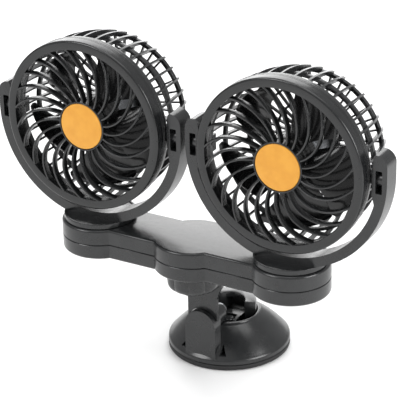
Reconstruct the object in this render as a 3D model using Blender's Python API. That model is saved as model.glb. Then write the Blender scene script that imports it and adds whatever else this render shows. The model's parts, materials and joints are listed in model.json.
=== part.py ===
# Dual head dashboard fan: two caged heads on a wing-shaped base that turns and tilts on a suction foot.
# Metres, +Z up, front towards -Y. The origin is the middle of the suction pad's underside.

import math

import bmesh
import bpy
from mathutils import Vector

TURN = 2.0 * math.pi

# Gaps between neighbouring pieces
GAP = 0.0003
RUNNING_GAP = 0.0006

# Placement of the joints
WING_AXIS_Y = -0.0411
TRUNNION_Y = -0.0443
HINGE_Z = 0.027
LEVER_AXIS_Z = 0.0135

# Suction pad and its stem
PAD_RADIUS = 0.038
PAD_THICKNESS = 0.003
PAD_EDGE = 0.0012
STEM_RADIUS = 0.0030
STEM_FOOT_RADIUS = 0.0100
STEM_FOOT_TOP = 0.0052
STEM_TOP = 0.0165

# Foot shell
SHOULDER_STEP = 0.0008
SKIRT_WALL = 0.0020
SKIRT_RADIUS = PAD_RADIUS
SKIRT_TOP = 0.0058
SHOULDER_RADIUS = SKIRT_RADIUS - SHOULDER_STEP
SHOULDER_Z = 0.0068
RIM_RADIUS = 0.0193
RIM_Z = 0.0229
RIM_EDGE = 0.0007
CONE_BULGE = 0.0009
CONE_BULGE_OUT_SHARE = 0.5
CUP_RADIUS = 0.0178
FLOOR_TOP = 0.0094
FLOOR_UNDER = 0.0070
CUP_WALL_RADIUS = 0.0200
HOLLOW_TOP = 0.0178
HOLLOW_TOP_RADIUS = 0.0225
HOLLOW_EDGE_RADIUS = SHOULDER_RADIUS - SKIRT_WALL
HOLLOW_EDGE_Z = 0.0052
STEM_HOLE_RADIUS = 0.0036

# Ears of the foot
EAR_HALF_WIDTH = 0.01005
FRONT_EAR_FRONT = -0.0326
FRONT_EAR_BACK = -0.0292
REAR_EAR_HALF_WIDTH = 0.0050
REAR_EAR_FRONT = -0.0149
REAR_EAR_BACK = -0.0118
EAR_FOOT_Z = 0.0040
REAR_EAR_FOOT_Z = 0.0082
CUTOUT_NEAR_X = 0.0117
CUTOUT_FAR_X = 0.0158
CUTOUT_LOW_Z = 0.0084
CUTOUT_HIGH_Z = 0.0142
CUTOUT_FRONT_Y = -0.0400
CUTOUT_BACK_Y = -0.0255

# Hinge pin
HINGE_PIN_RADIUS = 0.0025
HINGE_PIN_FRONT = -0.0307
HINGE_PIN_HEAD_FRONT = -0.0113
HINGE_PIN_HEAD_BACK = -0.0098
HINGE_PIN_HEAD_RADIUS = 0.0042
HINGE_BLIND_END = -0.0310

# Release lever, about its pin
LEVER_HALF_WIDTH = 0.0058
LEVER_FORK_HALF = 0.0034
LEVER_FORK_BACK_Y = 0.0046
LEVER_PIN_RADIUS = 0.0013
LEVER_PIN_HALF = 0.0056
LEVER_HUB_RADIUS = 0.0035
LEVER_HEEL_Y = 0.0085
LEVER_LIP_Y = 0.0125
LEVER_TIP_Y = 0.0158
LEVER_TIP_LOW = 0.0005
LEVER_TIP_HIGH = 0.0044

# Neck
FLANGE_RADIUS = 0.0124
FLANGE_LOW = 0.0623
FLANGE_HIGH = 0.0648
SHAFT_RADIUS = 0.0078
CRANK_LOW = 0.0546
CRANK_HIGH = 0.0571
CRANK_BACK_Y = -0.0190
CRANK_HALF = 0.0086
PLATE_FRONT_Y = -0.0326
PLATE_BACK_Y = -0.0303
PLATE_LOW = 0.0305
FLARE_LOW = 0.0460
FLARE_HIGH = 0.0551
FLARE_HALF = 0.0138
FLARE_SHARES = ((0.23, 0.30), (0.44, 0.58), (0.71, 0.81), (1.0, 1.0))
ARCH_RADIUS = 0.0109
WEB_HALF = 0.0020
WEB_BACK_Y = -0.0175
WEB_LOW = 0.0310
BOSS_RADIUS = 0.0092
BOSS_FRONT_Y = -0.0289
BOSS_BACK_Y = -0.0262
BARREL_RADIUS = 0.0070
BARREL_BACK_Y = -0.0155

# Wing shells
LOBE_RADIUS = 0.0235
CENTRE_LOBE_RADIUS = 0.0242
ARM_HALF_WIDTH = 0.0170
WING_BOTTOM = 0.0723
PARTING_Z = 0.0806
WING_TOP = 0.0904
WING_WALL = 0.0020
TOP_EDGE = 0.0016
BOTTOM_EDGE = 0.0026
EDGE_SHARE = 0.35
SPIGOT_HOLE_RADIUS = 0.0063
COLLAR_RADIUS = 0.0130
COLLAR_BORE = 0.0090
COLLAR_LOW = 0.0664
SCREW_X = 0.0330
SCREW_Y = 0.0095
POST_RADIUS = 0.0034
PILOT_RADIUS = 0.0017
SINK_RADIUS = 0.0032
SINK_TOP = 0.0747
WING_SCREW_HEAD_RADIUS = 0.0029
WING_SCREW_HEAD_LOW = 0.0727
WING_SCREW_HEAD_HIGH = 0.0744
WING_SCREW_RADIUS = 0.0014
WING_SCREW_TOP = 0.0854
GROMMET_Z = 0.0774
GROMMET_HOLE = 0.0026
GROMMET_RADIUS = 0.0023
GROMMET_BORE = 0.0013
GROMMET_COLLAR = 0.0034
GROMMET_INNER_COLLAR = 0.0025
GROMMET_OUT_Y = 0.0012
GROMMET_IN_Y = 0.0012

# Clamp nut and friction washer
NUT_RADIUS = 0.0168
NUT_FOOT_RADIUS = 0.0137
NUT_FLUTE = 0.0008
NUT_FLUTES = 10
FLUTE_STEPS = 4
NUT_LOW = 0.0582
NUT_BOWL_TOP = 0.0632
NUT_HIGH = 0.0718
NUT_LIP_TOP = 0.0620
NUT_LIP_BORE = 0.0084
NUT_BORE = 0.0133
BOWL_SHARES = ((0.0, 0.0), (0.61, 0.26), (0.87, 0.56), (1.0, 1.0))
WASHER_LOW = 0.0651
WASHER_HIGH = 0.0661
WASHER_BORE = 0.0050

# Size of the heads, which their grilles, cages, blades and yokes follow
BEZEL_OUTER = 0.0525
HUB_SEAT_RADIUS = 0.0144

# Yoke, about the trunnion axis
BAND_ROOM = 0.0110
YOKE_OUTER = BEZEL_OUTER + BAND_ROOM
TURNTABLE_CLEARANCE = 0.0002
TRUNNION_Z = WING_TOP + TURNTABLE_CLEARANCE + YOKE_OUTER
YOKE_CLEARANCE = 0.0030
HEAD_SPACING = 2.0 * YOKE_OUTER + YOKE_CLEARANCE
BAND_THICKNESS = 0.0060
YOKE_INNER = YOKE_OUTER - BAND_THICKNESS
YOKE_HALF_DEPTH = 0.0060
YOKE_TOP = 0.0160
YOKE_CORNER = 0.0070
ARM_THICKNESS = 0.0092
ARM_INNER = YOKE_OUTER - ARM_THICKNESS
ARM_BULGE_Z = 0.0080
ARM_INNER_LOW_Z = -0.0140
ARM_TOP_RELIEF = 0.0009
ARM_TOP_INNER = ARM_INNER + ARM_TOP_RELIEF
ARM_CHAMFER = 0.0012
WINDOW_WALL = 0.0030
WINDOW_DEPTH = 0.0040
WINDOW_OUT = YOKE_OUTER - WINDOW_WALL
WINDOW_IN = WINDOW_OUT - WINDOW_DEPTH
WINDOW_HALF_HEIGHT = 0.0068
WINDOW_BACK_Y = 0.0046
PIN_BARREL_RADIUS = 0.0042
PIN_TIP_RADIUS = 0.0022
PIN_STAND_OUT = 0.0004
PIN_SPIGOT = 0.0033
PIN_TIP = 0.0014
PIN_SHOULDER = ARM_INNER - PIN_STAND_OUT
PIN_IN = PIN_SHOULDER - PIN_SPIGOT
PIN_BARREL_END = WINDOW_OUT - GAP
PIN_END = PIN_BARREL_END + PIN_TIP
TIP_HOLE_END = PIN_END + GAP
TURNTABLE_RADIUS = 0.0220
TURNTABLE_THICKNESS = 0.0022
TURNTABLE_RIM = 0.0014
TURNTABLE_RIM_RISE = 0.0008
SPIGOT_RADIUS = 0.0060
TURN_WASHER_RADIUS = 0.0092
TURN_WASHER_THICKNESS = 0.0017
TURN_SCREW_RADIUS = 0.0017
TURN_SCREW_BORE = 0.0020
TURN_SCREW_HEAD = 0.0046
TURN_SCREW_HEAD_THICKNESS = 0.0020
TURN_SCREW_TOP = 0.0914
TURN_BORE_TOP = 0.0917

# Front grille, along the head's own axis from the trunnion line
BEZEL_FACE = 0.0056
BEZEL_INNER = BEZEL_OUTER - BEZEL_FACE
BEZEL_FRONT = -0.0130
BEZEL_BACK = -0.0042
BEZEL_EDGE = 0.0011
BEZEL_WALL = 0.0019
BEZEL_WALL_INNER = BEZEL_OUTER - BEZEL_WALL
BEZEL_FLANGE_BACK = -0.0084
HUB_WALL = 0.0009
HUB_RADIUS = HUB_SEAT_RADIUS + HUB_WALL
HUB_FRONT = -0.0132
HUB_SEAT = -0.0115
HUB_BACK = -0.0084
RIB_COUNT = 24
RIB_ROOT = 0.0004
RIB_START = HUB_RADIUS - RIB_ROOT
RIB_SINK = 0.0007
RIB_END = BEZEL_INNER + RIB_SINK
RIB_FRONT = -0.0128
RIB_DEPTH = 0.0042
RIB_BOW = 0.0026
RIB_WIDTH = 0.0012
RIB_PHASE = math.radians(9.75)
RIB_SWEEP = math.radians(32.0)
RIB_POWER = 1.59
RIB_STEPS = 3

# Badge
BADGE_RADIUS = HUB_SEAT_RADIUS - GAP
BADGE_FRONT = -0.0131
BADGE_BACK = -0.0118
BADGE_EDGE = 0.0004

# Rear cage
CAGE_RIBS = 38
CAGE_RIB_WIDTH = 0.0013
FLANGE_INSET = 0.0009
FLANGE_WALL = 0.0028
FLANGE_OUT = BEZEL_OUTER - FLANGE_INSET
FLANGE_IN = FLANGE_OUT - FLANGE_WALL
FLANGE_LIP_OUT = BEZEL_WALL_INNER - GAP
FLANGE_LIP_FRONT = -0.0075
FLANGE_FRONT = -0.0039
FLANGE_BACK = 0.0044
CAGE_RIB_INSET = 0.0004
CAGE_RIB_DEPTH = 0.0022
CAGE_TAPER = 0.0065
CAGE_CURVE = 1.8
CAGE_RIB_SHARES = (0.0, 0.55, 1.0)
CAGE_RIB_FOOT = 0.0036
CAGE_RIB_FOOT_OUT = FLANGE_OUT - CAGE_RIB_INSET
CAGE_TIP = 0.0341
CAGE_BACK_FACE = 0.0334
CAGE_BACK_INSIDE = 0.0314
MID_RING_SINK = 0.0030
MID_RING_WALL = 0.0020
MID_RING_OUT = CAGE_RIB_FOOT_OUT - MID_RING_SINK
MID_RING_IN = MID_RING_OUT - MID_RING_WALL
MID_RING_FRONT = 0.0156
MID_RING_BACK = 0.0186
REAR_RING_SINK = 0.0009
REAR_RING_WALL = 0.0023
REAR_RING_OUT = CAGE_RIB_FOOT_OUT - CAGE_TAPER - REAR_RING_SINK
REAR_RING_IN = REAR_RING_OUT - REAR_RING_WALL
REAR_RING_FRONT = 0.0310
REAR_RING_BACK = 0.0337
MOUNT_RADIUS = 0.0160
MOUNT_BORE = 0.0036
MOUNT_FRONT = 0.0311
MOUNT_BACK = 0.0340
BOSS_ROUND = 0.0038
BOSS_SINK = 0.0020
BOSS_IN = FLANGE_OUT - BOSS_SINK
BOSS_OUT = PIN_SHOULDER - GAP
MOTOR_SCREW_PITCH = 0.0080

# Motor
CAN_RADIUS = 0.0122
CAN_FRONT = 0.0100
CAN_BACK = 0.0308
CAN_EDGE = 0.0010
CAP_FRONT = 0.0082
CAP_BACK = 0.0097
CAP_RADIUS = 0.0112
SHAFT_THICK = 0.0015
SHAFT_HOLE = 0.0018
SHAFT_FRONT = -0.0030
SHAFT_BACK = 0.0136
SHAFT_HOLE_BACK = 0.0140
MOTOR_SCREW_HEAD = 0.0024
MOTOR_SCREW_HEAD_BACK = 0.0356
MOTOR_SCREW_SHANK = 0.0012
MOTOR_SCREW_HOLE = 0.0015
MOTOR_SCREW_END = 0.0270
MOTOR_HOLE_END = 0.0265

# Impeller
IMPELLER_HUB = 0.0150
IMPELLER_HUB_INNER = 0.0134
IMPELLER_FRONT = -0.0066
IMPELLER_DOME = -0.0052
IMPELLER_FACE_SHARE = 0.75
IMPELLER_INSIDE = -0.0042
IMPELLER_BACK = 0.0074
IMPELLER_BOSS = 0.0038
IMPELLER_BOSS_BACK = 0.0040
BLADE_COUNT = 5
BLADE_ROOT = 0.0143
BLADE_CLEARANCE = 0.0039
BLADE_TIP = BEZEL_INNER - BLADE_CLEARANCE
BLADE_SPAN_STEPS = 3
BLADE_CHORD_STEPS = 4
BLADE_ROOT_CHORD = math.radians(48.0)
BLADE_TIP_CHORD = math.radians(62.0)
BLADE_SKEW = math.radians(14.0)
BLADE_FRONT = -0.0030
BLADE_ROOT_RISE = 0.0090
BLADE_TIP_RISE = 0.0130
BLADE_THICKNESS = 0.0014
BLADE_CAMBER = 0.0012

# Facets of each kind of round
BIG_STEPS = 40
DISC_STEPS = 28
HUB_STEPS = 16
SMALL_STEPS = 8
CONE_STEPS = 3
EAR_STEPS = 12
LOBE_STEPS = 12
MIDDLE_LOBE_STEPS = 6
YOKE_BAND_STEPS = 12
YOKE_INSIDE_STEPS = 10
YOKE_CORNER_STEPS = 3
SMOOTH_ANGLE = math.radians(32.0)

# Looks: colour, roughness, metallic
SATIN_BLACK = ((0.020, 0.020, 0.021), 0.45, 0.0)
GLOSS_BLACK = ((0.012, 0.012, 0.013), 0.15, 0.0)
ORANGE = ((0.85, 0.40, 0.06), 0.40, 0.0)
RUBBER_BLACK = ((0.015, 0.015, 0.015), 0.70, 0.0)
BRIGHT_STEEL = ((0.55, 0.55, 0.56), 0.30, 1.0)
WASHER_WHITE = ((0.70, 0.70, 0.68), 0.50, 0.0)


# Scene helpers

def clear_scene():
    for old in list(bpy.data.objects):
        bpy.data.objects.remove(old, do_unlink=True)


def own_material(name, look):
    """A Principled material of its own for one piece."""
    colour, roughness, metallic = look
    made = bpy.data.materials.new(name)
    made.use_nodes = True
    shader = made.node_tree.nodes["Principled BSDF"]
    shader.inputs["Base Color"].default_value = (*colour, 1.0)
    shader.inputs["Roughness"].default_value = roughness
    shader.inputs["Metallic"].default_value = metallic
    return made


def pivot(name, place, parent=None):
    """An empty on a joint's axis; place is in the object's frame, not the parent's."""
    empty = bpy.data.objects.new(name, None)
    bpy.context.scene.collection.objects.link(empty)
    empty["place"] = place
    set_parent(empty, place, parent)
    return empty


def set_parent(child, place, parent):
    if parent is None:
        child.location = place
        return
    child.parent = parent
    child.location = Vector(place) - Vector(parent["place"])


def piece(name, shape, look, parent, smooth=True):
    """Turns a finished shape, drawn about its parent's axis, into a named piece."""
    mesh = bpy.data.meshes.new(name)
    shape.to_mesh(mesh)
    shape.free()
    if smooth:
        mesh.shade_smooth()
        mesh.set_sharp_from_angle(angle=SMOOTH_ANGLE)
    return placed(name, mesh, look, parent)


def placed(name, mesh, look, parent):
    made = bpy.data.objects.new(name, mesh)
    bpy.context.scene.collection.objects.link(made)
    made.parent = parent
    mesh.materials.clear()
    mesh.materials.append(own_material(name, look))
    return made


def copied(name, original, look, parent):
    """A second piece with the same shape and its own material."""
    return placed(name, original.data.copy(), look, parent)


# Shape helpers

def laid(across, up, along, axis):
    """A point drawn in a plane and pushed along an axis."""
    if axis == "Y":
        return (across, along, up)
    if axis == "X":
        return (along, across, up)
    return (across, up, along)


def closed(shape):
    bmesh.ops.recalc_face_normals(shape, faces=shape.faces[:])
    return shape


def turned(profile, steps, axis="Z", centre=(0.0, 0.0), start=0.0):
    """Solid of revolution of a closed (radius, height) outline; points on the axis become poles."""
    made = bmesh.new()
    rings = []
    for radius, height in profile:
        if radius == 0.0:
            rings.append([made.verts.new(laid(centre[0], centre[1], height, axis))])
            continue
        ring = []
        for step in range(steps):
            angle = start + TURN * step / steps
            across = centre[0] + radius * math.cos(angle)
            up = centre[1] + radius * math.sin(angle)
            ring.append(made.verts.new(laid(across, up, height, axis)))
        rings.append(ring)
    for lower, upper in zip(rings, rings[1:] + rings[:1]):
        if len(lower) == 1 and len(upper) == 1:
            continue
        for step in range(steps):
            after = (step + 1) % steps
            corners = [
                lower[step % len(lower)],
                lower[after % len(lower)],
                upper[after % len(upper)],
                upper[step % len(upper)],
            ]
            made.faces.new(list(dict.fromkeys(corners)))
    return closed(made)


def rod(radius, low, high, steps, axis="Z", centre=(0.0, 0.0)):
    """A plain cylinder with flat ends."""
    return lofted([circle(radius, steps, centre)] * 2, [low, high], axis)


def circle(radius, steps, centre=(0.0, 0.0)):
    points = []
    for step in range(steps):
        angle = TURN * step / steps
        points.append((centre[0] + radius * math.cos(angle), centre[1] + radius * math.sin(angle)))
    return points


def arc(centre, radius, start, end, steps):
    """Points along an arc, both ends included; angles in radians."""
    points = []
    for step in range(steps + 1):
        angle = start + (end - start) * step / steps
        points.append((centre[0] + radius * math.cos(angle), centre[1] + radius * math.sin(angle)))
    return points


def lofted(loops, heights, axis="Z"):
    """Skin through loops of equal count, one above another, closed by a flat face at both ends."""
    made = bmesh.new()
    rings = []
    for loop, height in zip(loops, heights):
        rings.append([made.verts.new(laid(across, up, height, axis)) for across, up in loop])
    count = len(rings[0])
    for lower, upper in zip(rings, rings[1:]):
        for step in range(count):
            after = (step + 1) % count
            made.faces.new((lower[step], lower[after], upper[after], upper[step]))
    made.faces.new(rings[0])
    made.faces.new(rings[-1])
    return closed(made)


def prism(outline, low, high, axis="Z"):
    return lofted([outline, outline], [low, high], axis)


def block(low, high):
    """A box between two opposite corners."""
    outline = [(low[0], low[1]), (high[0], low[1]), (high[0], high[1]), (low[0], high[1])]
    return prism(outline, low[2], high[2])


def gathered(shapes):
    """Several separate bodies in one shape, as the tool of one cut or one union."""
    made = bmesh.new()
    for shape in shapes:
        held = bpy.data.meshes.new("held")
        shape.to_mesh(held)
        shape.free()
        made.from_mesh(held)
        bpy.data.meshes.remove(held)
    return made


def held_object(name, shape):
    mesh = bpy.data.meshes.new(name)
    shape.to_mesh(mesh)
    shape.free()
    made = bpy.data.objects.new(name, mesh)
    bpy.context.scene.collection.objects.link(made)
    return made


def dropped(thing):
    mesh = thing.data
    bpy.data.objects.remove(thing, do_unlink=True)
    bpy.data.meshes.remove(mesh)


def combined(base, tools, operation):
    """Exact Boolean of a shape with one or more shapes; all of them are used up."""
    target = held_object("target", base)
    tool = held_object("tool", gathered(tools))
    step = target.modifiers.new("Boolean", "BOOLEAN")
    step.operation = operation
    step.solver = "EXACT"
    step.object = tool
    bpy.context.view_layer.update()
    solved = target.evaluated_get(bpy.context.evaluated_depsgraph_get())
    made = bmesh.new()
    made.from_mesh(solved.data)
    dropped(target)
    dropped(tool)
    return closed(made)


def united(base, *tools):
    return combined(base, tools, "UNION")


def cut(base, *tools):
    return combined(base, tools, "DIFFERENCE")


def turned_about_y(shape, angle):
    """Turns a shape about the Y axis through the origin; positive runs from +X to +Z."""
    sine = math.sin(angle)
    cosine = math.cos(angle)
    for vertex in shape.verts:
        across = vertex.co.x
        up = vertex.co.z
        vertex.co.x = across * cosine - up * sine
        vertex.co.z = across * sine + up * cosine
    return shape


# Suction foot

def suction_cup():
    """Flat pad with a soft edge, the face that holds on the dashboard."""
    profile = [
        (0.0, 0.0),
        (PAD_RADIUS, 0.0),
        (PAD_RADIUS, PAD_THICKNESS - PAD_EDGE),
        (PAD_RADIUS - PAD_EDGE, PAD_THICKNESS),
        (0.0, PAD_THICKNESS),
    ]
    return turned(profile, BIG_STEPS)


def cup_stem():
    """Post that the lever lifts, with the cross hole for the lever's pin."""
    low = PAD_THICKNESS + GAP
    profile = [
        (0.0, low),
        (STEM_FOOT_RADIUS, low),
        (STEM_FOOT_RADIUS, STEM_FOOT_TOP),
        (STEM_RADIUS, STEM_FOOT_TOP),
        (STEM_RADIUS, STEM_TOP),
        (0.0, STEM_TOP),
    ]
    stem = turned(profile, HUB_STEPS)
    hole = rod(LEVER_PIN_RADIUS + GAP, -PAD_RADIUS, PAD_RADIUS, SMALL_STEPS, "X", (0.0, LEVER_AXIS_Z))
    return cut(stem, hole)


def foot_profile():
    """Section of the foot: skirt, bulging cone, open rim, cup with a floor, hollow under the cone."""
    low = PAD_THICKNESS + GAP
    points = [(SKIRT_RADIUS, low), (SKIRT_RADIUS, SKIRT_TOP)]
    for step in range(CONE_STEPS + 1):
        share = step / CONE_STEPS
        bulge = CONE_BULGE * 4.0 * share * (1.0 - share)
        radius = SHOULDER_RADIUS + (RIM_RADIUS - SHOULDER_RADIUS) * share
        height = SHOULDER_Z + (RIM_Z - RIM_EDGE - SHOULDER_Z) * share
        points.append((radius + bulge * CONE_BULGE_OUT_SHARE, height + bulge))
    points.append((RIM_RADIUS - RIM_EDGE, RIM_Z))
    points.append((CUP_RADIUS, RIM_Z))
    points.append((CUP_RADIUS, FLOOR_TOP))
    points.append((STEM_HOLE_RADIUS, FLOOR_TOP))
    points.append((STEM_HOLE_RADIUS, FLOOR_UNDER))
    points.append((CUP_WALL_RADIUS, FLOOR_UNDER))
    points.append((CUP_WALL_RADIUS, HOLLOW_TOP))
    points.append((HOLLOW_TOP_RADIUS, HOLLOW_TOP))
    points.append((HOLLOW_EDGE_RADIUS, HOLLOW_EDGE_Z))
    points.append((HOLLOW_EDGE_RADIUS, low))
    return points


def tombstone(half_width, foot_z, top_centre_z, steps):
    """Straight-sided outline with a half-round top."""
    points = [(-half_width, foot_z), (half_width, foot_z)]
    return points + arc((0.0, top_centre_z), half_width, 0.0, math.pi, steps)


def base_shell():
    """Cone with its open rim, notched for the neck's barrel, and the two ears that hold the hinge pin."""
    shell = turned(foot_profile(), BIG_STEPS)
    front_outline = tombstone(EAR_HALF_WIDTH, EAR_FOOT_Z, HINGE_Z, EAR_STEPS)
    front_ear = prism(front_outline, FRONT_EAR_FRONT, FRONT_EAR_BACK, "Y")
    rear_outline = tombstone(REAR_EAR_HALF_WIDTH, REAR_EAR_FOOT_Z, HINGE_Z, EAR_STEPS)
    rear_ear = prism(rear_outline, REAR_EAR_FRONT, REAR_EAR_BACK, "Y")
    cuts = []
    for side in (-1.0, 1.0):
        outline = [
            (side * CUTOUT_NEAR_X, CUTOUT_LOW_Z),
            (side * CUTOUT_FAR_X, CUTOUT_LOW_Z),
            (side * CUTOUT_NEAR_X, CUTOUT_HIGH_Z),
        ]
        cuts.append(prism(outline, CUTOUT_FRONT_Y, CUTOUT_BACK_Y, "Y"))
    shell = cut(shell, *cuts)
    saddle = rod(BARREL_RADIUS + RUNNING_GAP, BOSS_BACK_Y, REAR_EAR_BACK, HUB_STEPS, "Y", (0.0, HINGE_Z))
    shell = cut(shell, saddle)
    shell = united(shell, front_ear)
    shell = united(shell, rear_ear)
    pin_hole = rod(
        HINGE_PIN_RADIUS + GAP, HINGE_BLIND_END, REAR_EAR_BACK + RUNNING_GAP, HUB_STEPS, "Y", (0.0, HINGE_Z)
    )
    return cut(shell, pin_hole)


def hinge_pin():
    profile = [
        (0.0, HINGE_PIN_FRONT),
        (HINGE_PIN_RADIUS, HINGE_PIN_FRONT),
        (HINGE_PIN_RADIUS, HINGE_PIN_HEAD_FRONT),
        (HINGE_PIN_HEAD_RADIUS, HINGE_PIN_HEAD_FRONT),
        (HINGE_PIN_HEAD_RADIUS, HINGE_PIN_HEAD_BACK),
        (0.0, HINGE_PIN_HEAD_BACK),
    ]
    return turned(profile, HUB_STEPS, "Y", (0.0, HINGE_Z))


def release_lever():
    """Forked lever, drawn about its pin: round hub and an arm that lies back, with a lip for the finger."""
    hub = arc((0.0, 0.0), LEVER_HUB_RADIUS, math.pi / 2.0, math.pi * 1.5, SMALL_STEPS)
    outline = hub + [
        (LEVER_HEEL_Y, -LEVER_HUB_RADIUS),
        (LEVER_TIP_Y, LEVER_TIP_LOW),
        (LEVER_TIP_Y, LEVER_TIP_HIGH),
        (LEVER_LIP_Y, LEVER_HUB_RADIUS),
    ]
    arm = prism(outline, -LEVER_HALF_WIDTH, LEVER_HALF_WIDTH, "X")
    fork_gap = block(
        (-LEVER_FORK_HALF, -LEVER_TIP_Y, -LEVER_TIP_Y),
        (LEVER_FORK_HALF, LEVER_FORK_BACK_Y, LEVER_TIP_Y),
    )
    arm = cut(arm, fork_gap)
    return cut(arm, rod(LEVER_PIN_RADIUS + GAP, -PAD_RADIUS, PAD_RADIUS, SMALL_STEPS, "X"))


def lever_pin():
    return rod(LEVER_PIN_RADIUS, -LEVER_PIN_HALF, LEVER_PIN_HALF, SMALL_STEPS, "X")


# Neck and its clamp

def plate_outline(top):
    """Front view of the neck's plate: straight sides that flare out under the crank."""
    right = [(EAR_HALF_WIDTH, PLATE_LOW), (EAR_HALF_WIDTH, FLARE_LOW)]
    for out_share, up_share in FLARE_SHARES:
        out = EAR_HALF_WIDTH + (FLARE_HALF - EAR_HALF_WIDTH) * out_share
        right.append((out, FLARE_LOW + (FLARE_HIGH - FLARE_LOW) * up_share))
    right.append((FLARE_HALF, top))
    return right + [(-across, up) for across, up in reversed(right)]


def neck():
    """Cranked arm: hinge boss and barrel, web, flush front plate, crank, and the flange in the nut."""
    flange = turned(
        [
            (0.0, CRANK_HIGH - GAP),
            (SHAFT_RADIUS, CRANK_HIGH - GAP),
            (SHAFT_RADIUS, FLANGE_LOW),
            (FLANGE_RADIUS, FLANGE_LOW),
            (FLANGE_RADIUS, FLANGE_HIGH),
            (0.0, FLANGE_HIGH),
        ],
        HUB_STEPS,
        "Z",
        (0.0, WING_AXIS_Y),
    )
    crank_outline = arc((0.0, WING_AXIS_Y), CRANK_HALF, -math.pi, 0.0, SMALL_STEPS)
    crank_outline += [(CRANK_HALF, CRANK_BACK_Y), (-CRANK_HALF, CRANK_BACK_Y)]
    crank = prism(crank_outline, CRANK_LOW, CRANK_HIGH)
    plate = prism(plate_outline(CRANK_HIGH - GAP), PLATE_FRONT_Y, PLATE_BACK_Y, "Y")
    web = block(
        (-WEB_HALF, PLATE_BACK_Y - GAP, WEB_LOW),
        (WEB_HALF, WEB_BACK_Y, CRANK_LOW + RUNNING_GAP),
    )
    boss = rod(BOSS_RADIUS, BOSS_FRONT_Y, BOSS_BACK_Y, HUB_STEPS, "Y", (0.0, HINGE_Z))
    barrel = rod(BARREL_RADIUS, BOSS_BACK_Y - GAP, BARREL_BACK_Y, HUB_STEPS, "Y", (0.0, HINGE_Z))
    arch = rod(ARCH_RADIUS, PLATE_FRONT_Y - GAP, BOSS_FRONT_Y + GAP, BIG_STEPS, "Y", (0.0, HINGE_Z))
    made = united(crank, flange)
    made = united(made, plate)
    made = united(made, web)
    made = cut(made, arch)
    made = united(made, boss)
    made = united(made, barrel)
    hole = rod(
        HINGE_PIN_RADIUS + GAP, BOSS_FRONT_Y - RUNNING_GAP, BARREL_BACK_Y + RUNNING_GAP, HUB_STEPS, "Y",
        (0.0, HINGE_Z),
    )
    return cut(made, hole)


def fluted(radius, depth):
    """Outline of the nut: the radius dips once per flute."""
    points = []
    steps = NUT_FLUTES * FLUTE_STEPS
    for step in range(steps):
        angle = TURN * step / steps
        dip = depth * (0.5 - 0.5 * math.cos(NUT_FLUTES * angle))
        points.append(((radius - dip) * math.cos(angle), (radius - dip) * math.sin(angle)))
    return points


def clamp_nut():
    """Bowl-shaped nut with broad flutes; its lip catches under the neck's flange."""
    count = NUT_FLUTES * FLUTE_STEPS
    lip = circle(NUT_LIP_BORE, count)
    bore = circle(NUT_BORE, count)
    loops = [lip]
    heights = [NUT_LOW]
    for out_share, up_share in BOWL_SHARES:
        radius = NUT_FOOT_RADIUS + (NUT_RADIUS - NUT_FOOT_RADIUS) * out_share
        loops.append(fluted(radius, NUT_FLUTE * out_share))
        heights.append(NUT_LOW + (NUT_BOWL_TOP - NUT_LOW) * up_share)
    loops += [fluted(NUT_RADIUS, NUT_FLUTE), bore, bore, lip]
    heights += [NUT_HIGH, NUT_HIGH, NUT_LIP_TOP, NUT_LIP_TOP]
    return ring_lofted(loops, heights)


def ring_lofted(loops, heights):
    """Skin through a closed run of loops, the last joined to the first."""
    made = bmesh.new()
    rings = []
    for loop, height in zip(loops, heights):
        rings.append([made.verts.new((across, up, height)) for across, up in loop])
    count = len(rings[0])
    for lower, upper in zip(rings, rings[1:] + rings[:1]):
        for step in range(count):
            after = (step + 1) % count
            made.faces.new((lower[step], lower[after], upper[after], upper[step]))
    return closed(made)


def flat_ring(outer, inner, low, high, steps, axis="Z", start=0.0):
    profile = [(inner, low), (outer, low), (outer, high), (inner, high)]
    return turned(profile, steps, axis, (0.0, 0.0), start)


# Wing

def wing_outline(inset):
    """Plan of the wing: two end lobes and a middle lobe on a straight bar, all drawn in by the inset."""
    half = ARM_HALF_WIDTH - inset
    lobe = LOBE_RADIUS - inset
    middle = CENTRE_LOBE_RADIUS - inset
    lobe_angle = math.pi - math.asin(half / lobe)
    middle_angle = math.asin(half / middle)
    end = HEAD_SPACING / 2.0
    points = arc((end, 0.0), lobe, -lobe_angle, lobe_angle, LOBE_STEPS)
    points += arc((0.0, 0.0), middle, middle_angle, math.pi - middle_angle, MIDDLE_LOBE_STEPS)
    points += arc((-end, 0.0), lobe, math.pi - lobe_angle, math.pi + lobe_angle, LOBE_STEPS)
    points += arc((0.0, 0.0), middle, math.pi + middle_angle, TURN - middle_angle, MIDDLE_LOBE_STEPS)
    return points


def screw_places():
    return [(side * SCREW_X, row * SCREW_Y) for side in (-1.0, 1.0) for row in (-1.0, 1.0)]


def wing_upper_shell():
    insets = [TOP_EDGE, TOP_EDGE * EDGE_SHARE, 0.0, 0.0, WING_WALL, WING_WALL]
    heights = [
        WING_TOP,
        WING_TOP - TOP_EDGE * EDGE_SHARE,
        WING_TOP - TOP_EDGE,
        PARTING_Z + GAP / 2.0,
        PARTING_Z + GAP / 2.0,
        WING_TOP - WING_WALL,
    ]
    shell = lofted([wing_outline(inset) for inset in insets], heights)
    posts = []
    for place in screw_places():
        posts.append(rod(POST_RADIUS, PARTING_Z + GAP, WING_TOP - WING_WALL + GAP, SMALL_STEPS, "Z", place))
    shell = united(shell, *posts)
    holes = []
    for side in (-1.0, 1.0):
        place = (side * HEAD_SPACING / 2.0, 0.0)
        holes.append(rod(SPIGOT_HOLE_RADIUS, PARTING_Z, WING_TOP + TOP_EDGE, HUB_STEPS, "Z", place))
    for place in screw_places():
        holes.append(rod(PILOT_RADIUS, PARTING_Z - GAP, WING_SCREW_TOP + GAP, SMALL_STEPS, "Z", place))
    return cut(shell, *holes)


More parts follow.
